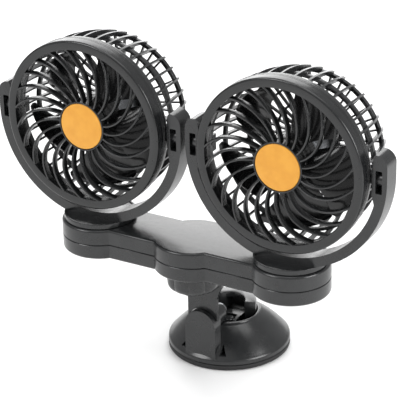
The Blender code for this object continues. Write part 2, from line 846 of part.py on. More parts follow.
def wing_lower_shell():
    insets = [BOTTOM_EDGE, BOTTOM_EDGE * EDGE_SHARE, 0.0, 0.0, WING_WALL, WING_WALL]
    heights = [
        WING_BOTTOM,
        WING_BOTTOM + BOTTOM_EDGE * EDGE_SHARE,
        WING_BOTTOM + BOTTOM_EDGE,
        PARTING_Z - GAP / 2.0,
        PARTING_Z - GAP / 2.0,
        WING_BOTTOM + WING_WALL,
    ]
    shell = lofted([wing_outline(inset) for inset in insets], heights)
    collar = rod(COLLAR_RADIUS, COLLAR_LOW, WING_BOTTOM + GAP, BIG_STEPS)
    posts = []
    for place in screw_places():
        posts.append(rod(POST_RADIUS, WING_BOTTOM + GAP, PARTING_Z - GAP, SMALL_STEPS, "Z", place))
    shell = united(shell, collar, *posts)
    holes = [rod(COLLAR_BORE, COLLAR_LOW - GAP, WING_BOTTOM + WING_WALL + GAP, HUB_STEPS)]
    for place in screw_places():
        holes.append(
            turned(
                [
                    (0.0, WING_BOTTOM - GAP),
                    (SINK_RADIUS, WING_BOTTOM - GAP),
                    (SINK_RADIUS, SINK_TOP),
                    (PILOT_RADIUS, SINK_TOP),
                    (PILOT_RADIUS, PARTING_Z),
                    (0.0, PARTING_Z),
                ],
                SMALL_STEPS,
                "Z",
                place,
            )
        )
    rear = CENTRE_LOBE_RADIUS
    holes.append(rod(GROMMET_HOLE, rear - WING_WALL * 2.0, rear + GROMMET_OUT_Y, SMALL_STEPS, "Y", (0.0, GROMMET_Z)))
    return cut(shell, *holes)


def cord_grommet():
    """Spool-shaped rubber grommet in the rear wall: two collars and a bore."""
    outer_wall = CENTRE_LOBE_RADIUS + GAP
    inner_wall = CENTRE_LOBE_RADIUS - WING_WALL - GAP
    profile = [
        (GROMMET_BORE, inner_wall - GROMMET_IN_Y),
        (GROMMET_INNER_COLLAR, inner_wall - GROMMET_IN_Y),
        (GROMMET_INNER_COLLAR, inner_wall - GAP),
        (GROMMET_RADIUS, inner_wall - GAP),
        (GROMMET_RADIUS, outer_wall),
        (GROMMET_COLLAR, outer_wall),
        (GROMMET_COLLAR - GAP, outer_wall + GROMMET_OUT_Y),
        (GROMMET_BORE, outer_wall + GROMMET_OUT_Y),
    ]
    return turned(profile, SMALL_STEPS, "Y", (0.0, GROMMET_Z))


def wing_screw(place):
    profile = [
        (0.0, WING_SCREW_HEAD_LOW),
        (WING_SCREW_HEAD_RADIUS, WING_SCREW_HEAD_LOW),
        (WING_SCREW_HEAD_RADIUS, WING_SCREW_HEAD_HIGH),
        (WING_SCREW_RADIUS, WING_SCREW_HEAD_HIGH),
        (WING_SCREW_RADIUS, WING_SCREW_TOP),
        (0.0, WING_SCREW_TOP),
    ]
    return turned(profile, SMALL_STEPS, "Z", place)


# Yoke and turntable, drawn about the turntable's axis at the height of the object's frame

def yoke_outline():
    """U band in the XZ plane about the trunnion: outer arc, rounded arm tops, inner edge that bulges in."""
    corner_x = YOKE_OUTER - YOKE_CORNER
    corner_z = YOKE_TOP - YOKE_CORNER
    half = arc((0.0, 0.0), YOKE_OUTER, -math.pi / 2.0, 0.0, YOKE_BAND_STEPS)
    half += arc((corner_x, corner_z), YOKE_CORNER, 0.0, math.pi / 2.0, YOKE_CORNER_STEPS)
    half.append((ARM_TOP_INNER, YOKE_TOP - ARM_CHAMFER))
    half.append((ARM_INNER, ARM_BULGE_Z))
    half.append((ARM_INNER, -ARM_BULGE_Z))
    inner_start = math.asin(ARM_INNER_LOW_Z / YOKE_INNER)
    half += arc((0.0, 0.0), YOKE_INNER, inner_start, -math.pi / 2.0, YOKE_INSIDE_STEPS)
    mirrored = [(-across, up) for across, up in reversed(half)]
    right = half
    left = mirrored[1:-1]
    return right + left


def yoke():
    lift = TRUNNION_Z
    shift = TRUNNION_Y - WING_AXIS_Y
    outline = [(across, up + lift) for across, up in yoke_outline()]
    band = prism(outline, shift - YOKE_HALF_DEPTH, shift + YOKE_HALF_DEPTH, "Y")
    low = WING_TOP + GAP
    disc = turned(
        [
            (0.0, low),
            (TURNTABLE_RADIUS, low),
            (TURNTABLE_RADIUS, low + TURNTABLE_THICKNESS + TURNTABLE_RIM_RISE),
            (TURNTABLE_RADIUS - TURNTABLE_RIM, low + TURNTABLE_THICKNESS + TURNTABLE_RIM_RISE),
            (TURNTABLE_RADIUS - TURNTABLE_RIM, low + TURNTABLE_THICKNESS),
            (0.0, low + TURNTABLE_THICKNESS),
        ],
        DISC_STEPS,
    )
    made = united(band, disc)
    spigot = rod(SPIGOT_RADIUS, WING_TOP - WING_WALL, low + GAP, HUB_STEPS)
    made = united(made, spigot)
    cuts = [rod(TURN_SCREW_BORE, WING_TOP - WING_WALL - GAP, TURN_BORE_TOP, SMALL_STEPS)]
    for side in (-1.0, 1.0):
        near, far = sorted((side * WINDOW_IN, side * WINDOW_OUT))
        cuts.append(
            block(
                (near, shift - YOKE_HALF_DEPTH - GAP, lift - WINDOW_HALF_HEIGHT),
                (far, shift + WINDOW_BACK_Y, lift + WINDOW_HALF_HEIGHT),
            )
        )
    made = cut(made, *cuts)
    bores = []
    for side in (-1.0, 1.0):
        near, far = sorted((side * (ARM_INNER - RUNNING_GAP), side * (WINDOW_IN + RUNNING_GAP)))
        bores.append(rod(PIN_BARREL_RADIUS + GAP, near, far, HUB_STEPS, "X", (shift, lift)))
        near, far = sorted((side * (WINDOW_OUT - RUNNING_GAP), side * TIP_HOLE_END))
        bores.append(rod(PIN_TIP_RADIUS + GAP, near, far, SMALL_STEPS, "X", (shift, lift)))
    return cut(made, *bores)


def turntable_washer():
    high = WING_TOP - WING_WALL - GAP
    return flat_ring(TURN_WASHER_RADIUS, TURN_SCREW_BORE, high - TURN_WASHER_THICKNESS, high, HUB_STEPS)


def turntable_screw():
    top = WING_TOP - WING_WALL - GAP - TURN_WASHER_THICKNESS - GAP
    profile = [
        (0.0, top - TURN_SCREW_HEAD_THICKNESS),
        (TURN_SCREW_HEAD, top - TURN_SCREW_HEAD_THICKNESS),
        (TURN_SCREW_HEAD, top),
        (TURN_SCREW_RADIUS, top),
        (TURN_SCREW_RADIUS, TURN_SCREW_TOP),
        (0.0, TURN_SCREW_TOP),
    ]
    return turned(profile, SMALL_STEPS)


# Head, drawn about the middle of its trunnion axis

def spiral_rib(number):
    """One grille rib: a strip that runs out from the hub, bending round as the distance grows."""
    made = bmesh.new()
    stations = []
    span = RIB_END - RIB_START
    for step in range(RIB_STEPS + 1):
        share = step / RIB_STEPS
        radius = RIB_START + span * share
        angle = RIB_PHASE + TURN * number / RIB_COUNT + RIB_SWEEP * share ** RIB_POWER
        slope = RIB_SWEEP * RIB_POWER * share ** (RIB_POWER - 1.0) / span
        radial = Vector((math.cos(angle), 0.0, math.sin(angle)))
        around = Vector((-math.sin(angle), 0.0, math.cos(angle)))
        run = (radial + around * radius * slope).normalized()
        side = Vector((-run.z, 0.0, run.x)) * (RIB_WIDTH / 2.0)
        front = RIB_FRONT - RIB_BOW * 4.0 * share * (1.0 - share)
        middle = radial * radius
        corners = []
        for sign, depth in ((-1.0, front), (1.0, front), (1.0, front + RIB_DEPTH), (-1.0, front + RIB_DEPTH)):
            corners.append(made.verts.new(middle + side * sign + Vector((0.0, depth, 0.0))))
        stations.append(corners)
    for near, far in zip(stations, stations[1:]):
        for corner in range(4):
            after = (corner + 1) % 4
            made.faces.new((near[corner], near[after], far[after], far[corner]))
    made.faces.new(stations[0])
    made.faces.new(stations[-1])
    return closed(made)


def front_grille():
    """Bezel with its side wall, hub cup that seats the badge, and the spiral ribs between them."""
    bezel = turned(
        [
            (BEZEL_INNER, BEZEL_FRONT),
            (BEZEL_OUTER - BEZEL_EDGE, BEZEL_FRONT),
            (BEZEL_OUTER, BEZEL_FRONT + BEZEL_EDGE),
            (BEZEL_OUTER, BEZEL_BACK),
            (BEZEL_WALL_INNER, BEZEL_BACK),
            (BEZEL_WALL_INNER, BEZEL_FLANGE_BACK),
            (BEZEL_INNER, BEZEL_FLANGE_BACK),
        ],
        BIG_STEPS,
        "Y",
    )
    hub = turned(
        [
            (0.0, HUB_SEAT),
            (HUB_SEAT_RADIUS, HUB_SEAT),
            (HUB_SEAT_RADIUS, HUB_FRONT),
            (HUB_RADIUS, HUB_FRONT),
            (HUB_RADIUS, HUB_BACK),
            (0.0, HUB_BACK),
        ],
        RIB_COUNT,
        "Y",
    )
    ribs = [spiral_rib(number) for number in range(RIB_COUNT)]
    return united(gathered([bezel, hub]), *ribs)


def hub_badge():
    profile = [
        (0.0, BADGE_FRONT),
        (BADGE_RADIUS - BADGE_EDGE, BADGE_FRONT),
        (BADGE_RADIUS, BADGE_FRONT + BADGE_EDGE),
        (BADGE_RADIUS, BADGE_BACK),
        (0.0, BADGE_BACK),
    ]
    return turned(profile, DISC_STEPS, "Y")


def cage_rib(number):
    """Side rib from the flange to a square tip; its outer edge bends in the more the farther back it runs."""
    outer = []
    inner = []
    for share in CAGE_RIB_SHARES:
        back = CAGE_RIB_FOOT + (CAGE_TIP - CAGE_RIB_FOOT) * share
        out = CAGE_RIB_FOOT_OUT - CAGE_TAPER * share ** CAGE_CURVE
        outer.append((out, back))
        inner.append((out - CAGE_RIB_DEPTH, back))
    rib = prism(outer + inner[::-1], -CAGE_RIB_WIDTH / 2.0, CAGE_RIB_WIDTH / 2.0)
    return turned_about_y(rib, TURN * number / CAGE_RIBS)


def cage_spoke(number):
    """Spoke from the rear ring in to the motor mount, one for every second side rib."""
    spoke = block(
        (MOUNT_RADIUS - CAGE_RIB_WIDTH, CAGE_BACK_INSIDE, -CAGE_RIB_WIDTH / 2.0),
        (REAR_RING_IN + CAGE_RIB_WIDTH / 2.0, CAGE_BACK_FACE, CAGE_RIB_WIDTH / 2.0),
    )
    return turned_about_y(spoke, TURN * number / (CAGE_RIBS // 2))


def rear_cage():
    """Basket behind the bezel: flange with trunnion bosses, ribs, mid, rear and inner rings, motor mount."""
    half_pitch = TURN / CAGE_RIBS / 2.0
    flange = turned(
        [
            (FLANGE_IN, FLANGE_LIP_FRONT),
            (FLANGE_LIP_OUT, FLANGE_LIP_FRONT),
            (FLANGE_LIP_OUT, FLANGE_FRONT),
            (FLANGE_OUT, FLANGE_FRONT),
            (FLANGE_OUT, FLANGE_BACK),
            (FLANGE_IN, FLANGE_BACK),
        ],
        CAGE_RIBS,
        "Y",
        (0.0, 0.0),
        half_pitch,
    )
    mid_ring = flat_ring(MID_RING_OUT, MID_RING_IN, MID_RING_FRONT, MID_RING_BACK, CAGE_RIBS, "Y", half_pitch)
    rear_ring = flat_ring(REAR_RING_OUT, REAR_RING_IN, REAR_RING_FRONT, REAR_RING_BACK, CAGE_RIBS, "Y", half_pitch)
    back_steps = CAGE_RIBS // 2
    back_start = half_pitch * 2.0
    mount = flat_ring(MOUNT_RADIUS, MOUNT_BORE, MOUNT_FRONT, MOUNT_BACK, back_steps, "Y", back_start)
    ribs = [cage_rib(number) for number in range(CAGE_RIBS)]
    ribs += [cage_spoke(number) for number in range(back_steps)]
    cage = united(gathered([flange, mid_ring, rear_ring, mount]), *ribs)
    bosses = []
    holes = []
    for side in (-1.0, 1.0):
        near, far = sorted((side * BOSS_IN, side * BOSS_OUT))
        bosses.append(rod(BOSS_ROUND, near, far, SMALL_STEPS, "X"))
        near, far = sorted((side * (PIN_IN - GAP), side * (BOSS_OUT + RUNNING_GAP)))
        holes.append(rod(PIN_TIP_RADIUS + GAP, near, far, SMALL_STEPS, "X"))
        holes.append(
            rod(MOTOR_SCREW_HOLE, MOUNT_FRONT - GAP, MOUNT_BACK + GAP, SMALL_STEPS, "Y", (side * MOTOR_SCREW_PITCH, 0.0))
        )
    cage = united(cage, *bosses)
    return cut(cage, *holes)


def pivot_pin(side):
    """Trunnion: thin end in the cage's boss, fat barrel in the yoke's window, thin tip in its outer wall."""
    profile = [
        (0.0, side * PIN_IN),
        (PIN_TIP_RADIUS, side * PIN_IN),
        (PIN_TIP_RADIUS, side * PIN_SHOULDER),
        (PIN_BARREL_RADIUS, side * PIN_SHOULDER),
        (PIN_BARREL_RADIUS, side * PIN_BARREL_END),
        (PIN_TIP_RADIUS, side * PIN_BARREL_END),
        (PIN_TIP_RADIUS, side * PIN_END),
        (0.0, side * PIN_END),
    ]
    return turned(profile, SMALL_STEPS, "X")


def motor_can():
    can = turned(
        [
            (0.0, CAN_FRONT),
            (CAN_RADIUS, CAN_FRONT),
            (CAN_RADIUS, CAN_BACK - CAN_EDGE),
            (CAN_RADIUS - CAN_EDGE, CAN_BACK),
            (0.0, CAN_BACK),
        ],
        HUB_STEPS,
        "Y",
    )
    holes = [rod(SHAFT_HOLE, CAN_FRONT - GAP, SHAFT_HOLE_BACK, SMALL_STEPS, "Y")]
    for side in (-1.0, 1.0):
        place = (side * MOTOR_SCREW_PITCH, 0.0)
        holes.append(rod(MOTOR_SCREW_HOLE, MOTOR_HOLE_END, CAN_BACK + GAP, SMALL_STEPS, "Y", place))
    return cut(can, *holes)


def motor_cap():
    return flat_ring(CAP_RADIUS, SHAFT_HOLE, CAP_FRONT, CAP_BACK, HUB_STEPS, "Y")


def motor_shaft():
    return rod(SHAFT_THICK, SHAFT_FRONT, SHAFT_BACK, SMALL_STEPS, "Y")


def motor_screw(side):
    head_front = MOUNT_BACK + GAP
    profile = [
        (0.0, MOTOR_SCREW_END),
        (MOTOR_SCREW_SHANK, MOTOR_SCREW_END),
        (MOTOR_SCREW_SHANK, head_front),
        (MOTOR_SCREW_HEAD, head_front),
        (MOTOR_SCREW_HEAD, MOTOR_SCREW_HEAD_BACK),
        (0.0, MOTOR_SCREW_HEAD_BACK),
    ]
    return turned(profile, SMALL_STEPS, "Y", (side * MOTOR_SCREW_PITCH, 0.0))


def blade(number):
    """Twisted blade: the chord turns back and the pitch rises from root to tip."""
    made = bmesh.new()
    faces_up = []
    faces_down = []
    for span_step in range(BLADE_SPAN_STEPS + 1):
        share = span_step / BLADE_SPAN_STEPS
        radius = BLADE_ROOT + (BLADE_TIP - BLADE_ROOT) * share
        chord = BLADE_ROOT_CHORD + (BLADE_TIP_CHORD - BLADE_ROOT_CHORD) * share
        rise = BLADE_ROOT_RISE + (BLADE_TIP_RISE - BLADE_ROOT_RISE) * share
        start = TURN * number / BLADE_COUNT - BLADE_SKEW * share - chord / 2.0
        up = []
        down = []
        for chord_step in range(BLADE_CHORD_STEPS + 1):
            along = chord_step / BLADE_CHORD_STEPS
            angle = start + chord * along
            bulge = BLADE_CAMBER * 4.0 * along * (1.0 - along)
            depth = BLADE_FRONT + rise * along - bulge
            across = radius * math.cos(angle)
            height = radius * math.sin(angle)
            up.append(made.verts.new((across, depth, height)))
            down.append(made.verts.new((across, depth + BLADE_THICKNESS, height)))
        faces_up.append(up)
        faces_down.append(down)
    for sheet in (faces_up, faces_down):
        for near, far in zip(sheet, sheet[1:]):
            for step in range(BLADE_CHORD_STEPS):
                made.faces.new((near[step], near[step + 1], far[step + 1], far[step]))
    border_up = blade_border(faces_up)
    border_down = blade_border(faces_down)
    for step in range(len(border_up)):
        after = (step + 1) % len(border_up)
        made.faces.new((border_up[step], border_up[after], border_down[after], border_down[step]))
    return closed(made)


def blade_border(sheet):
    """Vertices round the edge of a grid, in order."""
    edge = list(sheet[0])
    edge += [row[-1] for row in sheet[1:]]
    edge += list(reversed(sheet[-1]))[1:]
    edge += [row[0] for row in reversed(sheet[1:-1])]
    return edge


def impeller():
    hub = turned(
        [
            (0.0, IMPELLER_FRONT),
            (IMPELLER_HUB * IMPELLER_FACE_SHARE, IMPELLER_FRONT),
            (IMPELLER_HUB, IMPELLER_DOME),
            (IMPELLER_HUB, IMPELLER_BACK),
            (IMPELLER_HUB_INNER, IMPELLER_BACK),
            (IMPELLER_HUB_INNER, IMPELLER_INSIDE),
            (IMPELLER_BOSS, IMPELLER_INSIDE),
            (IMPELLER_BOSS, IMPELLER_BOSS_BACK),
            (SHAFT_HOLE, IMPELLER_BOSS_BACK),
            (SHAFT_HOLE, SHAFT_FRONT - GAP),
            (0.0, SHAFT_FRONT - GAP),
        ],
        BLADE_COUNT * 4,
        "Y",
    )
    blades = [blade(number) for number in range(BLADE_COUNT)]
    return united(hub, *blades)


# Assembly

def build_foot():
    root = pivot("foot_frame", (0.0, 0.0, 0.0))
    piece("suction_cup", suction_cup(), RUBBER_BLACK, root)
    piece("cup_stem", cup_stem(), SATIN_BLACK, root)
    piece("base_shell", base_shell(), SATIN_BLACK, root)
    piece("hinge_pin", hinge_pin(), BRIGHT_STEEL, root)
    lever_axis = pivot("lever_axis", (0.0, 0.0, LEVER_AXIS_Z), root)
    piece("release_lever", release_lever(), SATIN_BLACK, lever_axis)
    piece("lever_pin", lever_pin(), BRIGHT_STEEL, lever_axis)
    return root


def build_neck(root):
    """The neck turns on the hinge line; its mesh is drawn in the object's frame and moved onto the axis."""
    axis = pivot("neck_axis", (0.0, 0.0, HINGE_Z), root)
    shape = neck()
    moved(shape, (0.0, 0.0, -HINGE_Z))
    piece("neck", shape, SATIN_BLACK, axis)
    return axis


def moved(shape, offset):
    bmesh.ops.translate(shape, vec=offset, verts=shape.verts[:])
    return shape


def build_wing(neck_axis):
    axis = pivot("wing_axis", (0.0, WING_AXIS_Y, 0.0), neck_axis)
    piece("wing_lower_shell", wing_lower_shell(), SATIN_BLACK, axis)
    piece("wing_upper_shell", wing_upper_shell(), SATIN_BLACK, axis)
    piece("cord_grommet", cord_grommet(), RUBBER_BLACK, axis)
    piece("clamp_nut", clamp_nut(), SATIN_BLACK, axis)
    washer = flat_ring(FLANGE_RADIUS, WASHER_BORE, WASHER_LOW, WASHER_HIGH, HUB_STEPS)
    piece("friction_washer", washer, WASHER_WHITE, axis)
    for number, place in enumerate(screw_places()):
        piece("wing_screw_" + str(number + 1), wing_screw(place), BRIGHT_STEEL, axis)
    return axis


def build_yoke(prefix, side, wing_axis):
    axis = pivot(prefix + "_yoke_axis", (side * HEAD_SPACING / 2.0, WING_AXIS_Y, 0.0), wing_axis)
    piece(prefix + "_yoke", yoke(), SATIN_BLACK, axis)
    piece(prefix + "_turntable_washer", turntable_washer(), BRIGHT_STEEL, axis)
    piece(prefix + "_turntable_screw", turntable_screw(), BRIGHT_STEEL, axis)
    return axis


def build_head(prefix, side, yoke_axis):
    place = (side * HEAD_SPACING / 2.0, TRUNNION_Y, TRUNNION_Z)
    axis = pivot(prefix + "_head_axis", place, yoke_axis)
    piece(prefix + "_front_grille", front_grille(), SATIN_BLACK, axis)
    piece(prefix + "_hub_badge", hub_badge(), ORANGE, axis)
    piece(prefix + "_rear_cage", rear_cage(), SATIN_BLACK, axis)
    piece(prefix + "_motor_can", motor_can(), BRIGHT_STEEL, axis)
    piece(prefix + "_motor_cap", motor_cap(), SATIN_BLACK, axis)
    for name, way in (("inner", -side), ("outer", side)):
        piece(prefix + "_pivot_pin_" + name, pivot_pin(way), BRIGHT_STEEL, axis)
        piece(prefix + "_motor_screw_" + name, motor_screw(way), BRIGHT_STEEL, axis)
    spin_axis = pivot(prefix + "_spin_axis", place, axis)
    piece(prefix + "_impeller", impeller(), GLOSS_BLACK, spin_axis)
    piece(prefix + "_motor_shaft", motor_shaft(), BRIGHT_STEEL, spin_axis)


def build():
    clear_scene()
    root = build_foot()
    neck_axis = build_neck(root)
    wing_axis = build_wing(neck_axis)
    for prefix, side in (("left", -1.0), ("right", 1.0)):
        yoke_axis = build_yoke(prefix, side, wing_axis)
        build_head(prefix, side, yoke_axis)
    bpy.context.view_layer.update()


build()
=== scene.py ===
import json
import math

import bmesh
import bpy
import numpy as np
from mathutils import Matrix, Vector


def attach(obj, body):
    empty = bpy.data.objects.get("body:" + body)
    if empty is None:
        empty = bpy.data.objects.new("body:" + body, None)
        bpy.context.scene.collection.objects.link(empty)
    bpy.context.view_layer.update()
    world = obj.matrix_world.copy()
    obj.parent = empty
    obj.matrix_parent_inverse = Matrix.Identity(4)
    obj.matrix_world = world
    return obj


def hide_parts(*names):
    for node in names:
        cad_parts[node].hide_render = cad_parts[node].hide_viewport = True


# Dual head dashboard fan. Metres, +Z up, front towards -Y, origin under the middle of the suction pad.

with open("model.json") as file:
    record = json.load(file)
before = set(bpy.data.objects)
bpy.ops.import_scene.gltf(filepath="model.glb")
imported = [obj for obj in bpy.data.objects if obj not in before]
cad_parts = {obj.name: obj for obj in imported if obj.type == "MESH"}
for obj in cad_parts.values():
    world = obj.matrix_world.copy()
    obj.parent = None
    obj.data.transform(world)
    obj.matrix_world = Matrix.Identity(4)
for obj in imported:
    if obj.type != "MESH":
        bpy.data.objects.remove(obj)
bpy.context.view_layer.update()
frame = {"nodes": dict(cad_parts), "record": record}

TURN = 2.0 * math.pi
QUARTER = math.pi / 2.0

# Places of the joints
HEAD_HALF_SPACING = 0.065
WING_Y = -0.0411
TRUNNION_Y = -0.0443
TRUNNION_Z = 0.1541
HINGE_Z = 0.027
LEVER_Z = 0.0135
SIDES = (("left", -1.0), ("right", 1.0))
WAYS = (-1.0, 1.0)

# Radii of moulded edges, from nearly sharp to plainly round
FAINT = 0.0001
CRISP = 0.0002
SOFT = 0.0003
ROUND = 0.0004
FULL = 0.0006

# Points round a circle, by how large it shows
PIN_STEPS = 24
BORE_STEPS = 32
GROMMET_STEPS = 40
BARREL_STEPS = 48
BOSS_STEPS = 64
CAN_STEPS = 72
HUB_STEPS = 96
TABLE_STEPS = 128
INNER_RING_STEPS = 152
CAGE_STEPS = 190
FOOT_STEPS = 192
BEZEL_STEPS = 224
NUT_STEPS = 320

# Faces that meet at a larger angle than this keep a sharp edge between them
SHARP_ANGLE = 34.0
# A corner opened wider than this half angle is taken as straight
NEARLY_STRAIGHT = 1.5
# Where an outline would touch its axis, it stops this far from it
AXIS_GAP = 0.0002


# Shapes as arrays. Every shape is a pair: points (n, 3) and a list of faces.

def laid(across, up, along, axis):
    """Puts a drawn plane (across, up) and a push (along) onto the axes, so that along runs on the axis."""
    if axis == "Y":
        return np.stack([across, along, up], axis=-1)
    if axis == "X":
        return np.stack([along, across, up], axis=-1)
    return np.stack([across, up, along], axis=-1)


def grid_faces(rows, columns, wrap_rows, wrap_columns, first=0):
    """Four-cornered faces between neighbours of a rows by columns grid, joined round where it wraps."""
    row = np.arange(rows if wrap_rows else rows - 1)
    column = np.arange(columns if wrap_columns else columns - 1)
    near, left = np.meshgrid(row, column, indexing="ij")
    far = (near + 1) % rows
    right = (left + 1) % columns
    corners = [near * columns + left, near * columns + right, far * columns + right, far * columns + left]
    return (np.stack(corners, axis=-1).reshape(-1, 4) + first).tolist()


def filleted(corners, steps=4):
    """Outline through (across, up, radius) corners, each rounded by an arc that touches both its edges."""
    spots = np.array([corner[:2] for corner in corners])
    outline = []
    for index, (across, up, radius) in enumerate(corners):
        here = spots[index]
        to_last = spots[index - 1] - here
        to_next = spots[(index + 1) % len(spots)] - here
        to_last /= np.linalg.norm(to_last)
        to_next /= np.linalg.norm(to_next)
        half = math.acos(float(np.clip(to_last @ to_next, -1.0, 1.0))) / 2.0
        if radius <= 0.0 or half > NEARLY_STRAIGHT:
            outline.append(here[None, :])
            continue
        middle = (to_last + to_next) / np.linalg.norm(to_last + to_next)
        centre = here + middle * radius / math.sin(half)
        begin = here + to_last * radius / math.tan(half) - centre
        end = here + to_next * radius / math.tan(half) - centre
        start = math.atan2(begin[1], begin[0])
        sweep = math.atan2(end[1], end[0]) - start
        sweep = (sweep + math.pi) % TURN - math.pi
        angle = start + sweep * np.linspace(0.0, 1.0, steps + 1)
        outline.append(centre + radius * np.stack([np.cos(angle), np.sin(angle)], axis=-1))
    return np.concatenate(outline)


def filleted_open(corners, radius, steps=4):
    """An outline from axis to axis with its inner corners rounded."""
    first = [(corners[0][0], corners[0][1], 0.0)]
    last = [(corners[-1][0], corners[-1][1], 0.0)]
    inner = [(across, up, radius) for across, up in corners[1:-1]]
    outline = filleted(first + inner + last, steps)
    return np.maximum(outline, np.array([AXIS_GAP, -np.inf]))


def oblong(across, up, edges, steps):
    """A rectangle between two widths and two heights, each corner rounded by its own radius."""
    (left, right), (low, high) = across, up
    return filleted(list(zip((left, right, right, left), (low, low, high, high), edges)), steps)


def bulge(share):
    """4 t (1 - t): nothing at both ends and one in the middle."""
    return 4.0 * share * (1.0 - share)


def arc(centre, radius, start, end, steps):
    """Points at equal angles along an arc, both ends included."""
    angle = np.linspace(start, end, steps + 1)
    return np.stack([centre[0] + radius * np.cos(angle), centre[1] + radius * np.sin(angle)], axis=-1)


def circle(radius, steps, centre=(0.0, 0.0)):
    """Points at equal angles round a centre."""
    return arc(centre, radius, 0.0, TURN, steps)[:-1]


def tube_faces(rows, columns, closed=False):
    """Faces of loops joined in turn; flat ends, or last joined to first when closed."""
    faces = grid_faces(rows, columns, closed, True)
    last = (rows - 1) * columns
    ends = [] if closed else [list(range(columns)), list(range(last, last + columns))]
    return faces + ends


def loft(loops, heights, axis="Z", closed=False):
    """Equal loops, one above another, joined in turn."""
    loops = np.asarray(loops, float)
    along = np.broadcast_to(np.asarray(heights, float)[:, None], loops.shape[:2])
    points = laid(loops[..., 0], loops[..., 1], along, axis).reshape(-1, 3)
    return points, tube_faces(*loops.shape[:2], closed)


def dome(profile, steps, axis="Z", centre=(0.0, 0.0), closed=False):
    """An open outline of (radius, height) carried round the axis, its first and last circle closed flat."""
    return loft([circle(radius, steps, centre) for radius, _ in profile], [height for _, height in profile],
                axis, closed)


def ring(profile, steps, axis="Z", centre=(0.0, 0.0)):
    """A closed outline of (radius, height) carried once round the axis."""
    return dome(profile, steps, axis, centre, True)


def puck(radius, low, high, edge, steps, axis="Z"):
    """A disc about the axis with both its edges rounded."""
    return dome(filleted_open([(0.0, low), (radius, low), (radius, high), (0.0, high)], edge), steps, axis)


def prism(outline, low, high, axis="Z"):
    """A flat outline pushed from low to high along the axis."""
    return loft([outline, outline], [low, high], axis)


def box(low, high):
    """Eight corners between two opposite ones."""
    outline = np.array([(low[0], low[1]), (high[0], low[1]), (high[0], high[1]), (low[0], high[1])])
    return prism(outline, low[2], high[2])


def rod(radius, low, high, steps=BARREL_STEPS, axis="Z", centre=(0.0, 0.0)):
    """A circle pushed from low to high."""
    return prism(circle(radius, steps, centre), low, high, axis)


def together(shapes):
    """Several shapes as one, their faces renumbered in turn."""
    points = []
    faces = []
    first = 0
    for spots, around in shapes:
        points.append(spots)
        faces += [[corner + first for corner in face] for face in around]
        first += len(spots)
    return np.concatenate(points), faces


def spun(shape, count):
    """Copies of a shape at equal turns about the Y axis, the turn taking +X towards +Z."""
    points, faces = shape
    angle = np.arange(count) * TURN / count
    across = points[None, :, 0] * np.cos(angle)[:, None] - points[None, :, 2] * np.sin(angle)[:, None]
    up = points[None, :, 0] * np.sin(angle)[:, None] + points[None, :, 2] * np.cos(angle)[:, None]
    along = np.broadcast_to(points[None, :, 1], across.shape)
    every = np.stack([across, along, up], axis=-1).reshape(-1, 3)
    size = len(points)
    around = [[corner + copy * size for corner in face] for copy in range(count) for face in faces]
    return every, around


def moved(shape, offset):
    """A shape shifted by an offset."""
    points, faces = shape
    return points + np.asarray(offset, float), faces


def as_object(name, shape):
    """A mesh object from a shape, its faces turned outwards."""
    points, faces = shape
    mesh = bpy.data.meshes.new(name)
    mesh.from_pydata(points.tolist(), [], faces)
    mesh.validate()
    tidy = bmesh.new()
    tidy.from_mesh(mesh)
    bmesh.ops.recalc_face_normals(tidy, faces=tidy.faces[:])
    tidy.to_mesh(mesh)
    tidy.free()
    made = bpy.data.objects.new(name, mesh)
    bpy.context.scene.collection.objects.link(made)
    return made


def carved(shape, tools, operation="DIFFERENCE"):
    """A shape with others taken from it, or joined to it, by an exact Boolean."""
    target = as_object("target", shape)
    tool = as_object("tool", together(tools))
    step = target.modifiers.new("Boolean", "BOOLEAN")
    step.operation = operation
    step.solver = "EXACT"
    step.object = tool
    bpy.context.view_layer.update()
    solved = target.evaluated_get(bpy.context.evaluated_depsgraph_get()).data
    points = np.zeros(len(solved.vertices) * 3)
    solved.vertices.foreach_get("co", points)
    faces = [list(face.vertices) for face in solved.polygons]
    result = (points.reshape(-1, 3), faces)
    for old in (target, tool):
        mesh = old.data
        bpy.data.objects.remove(old, do_unlink=True)
        bpy.data.meshes.remove(mesh)
    return result


def joined(shape, *tools):
    """A shape with others melted into it."""
    return carved(shape, tools, "UNION")


def piece(name, shape, body, nodes, finish, edge=0.0, sharp=SHARP_ANGLE):
    """The shown piece: smooth shading, sharp edges kept, a small rounded edge, its body and its nodes."""
    made = as_object(name, shape)
    made.data.shade_smooth()
    made.data.set_sharp_from_angle(angle=math.radians(sharp))
    made.data.materials.append(finish)
    if edge > 0.0:
        rounding = made.modifiers.new("Rounded edges", "BEVEL")
        rounding.width = edge
        rounding.segments = 2
        rounding.limit_method = "ANGLE"
        rounding.angle_limit = math.radians(sharp)
        rounding.harden_normals = False
        rounding.use_clamp_overlap = True
    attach(made, body)
    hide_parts(*nodes)


# Finishes

def linear(code):
    """An sRGB hex colour as linear red, green, blue and alpha."""
    values = []
    for start in (1, 3, 5):
        share = int(code[start:start + 2], 16) / 255.0
        values.append(share / 12.92 if share <= 0.04045 else ((share + 0.055) / 1.055) ** 2.4)
    return (*values, 1.0)


def add(tree, kind, settings=(), links=()):
    """A node with its settings (sockets or attributes by name) and its incoming links."""
    node = tree.nodes.new(kind)
    for key, value in dict(settings).items():
        if key in node.inputs:
            node.inputs[key].default_value = value
        else:
            setattr(node, key, value)
    for key, source in dict(links).items():
        tree.links.new(source, node.inputs[key])
    return node


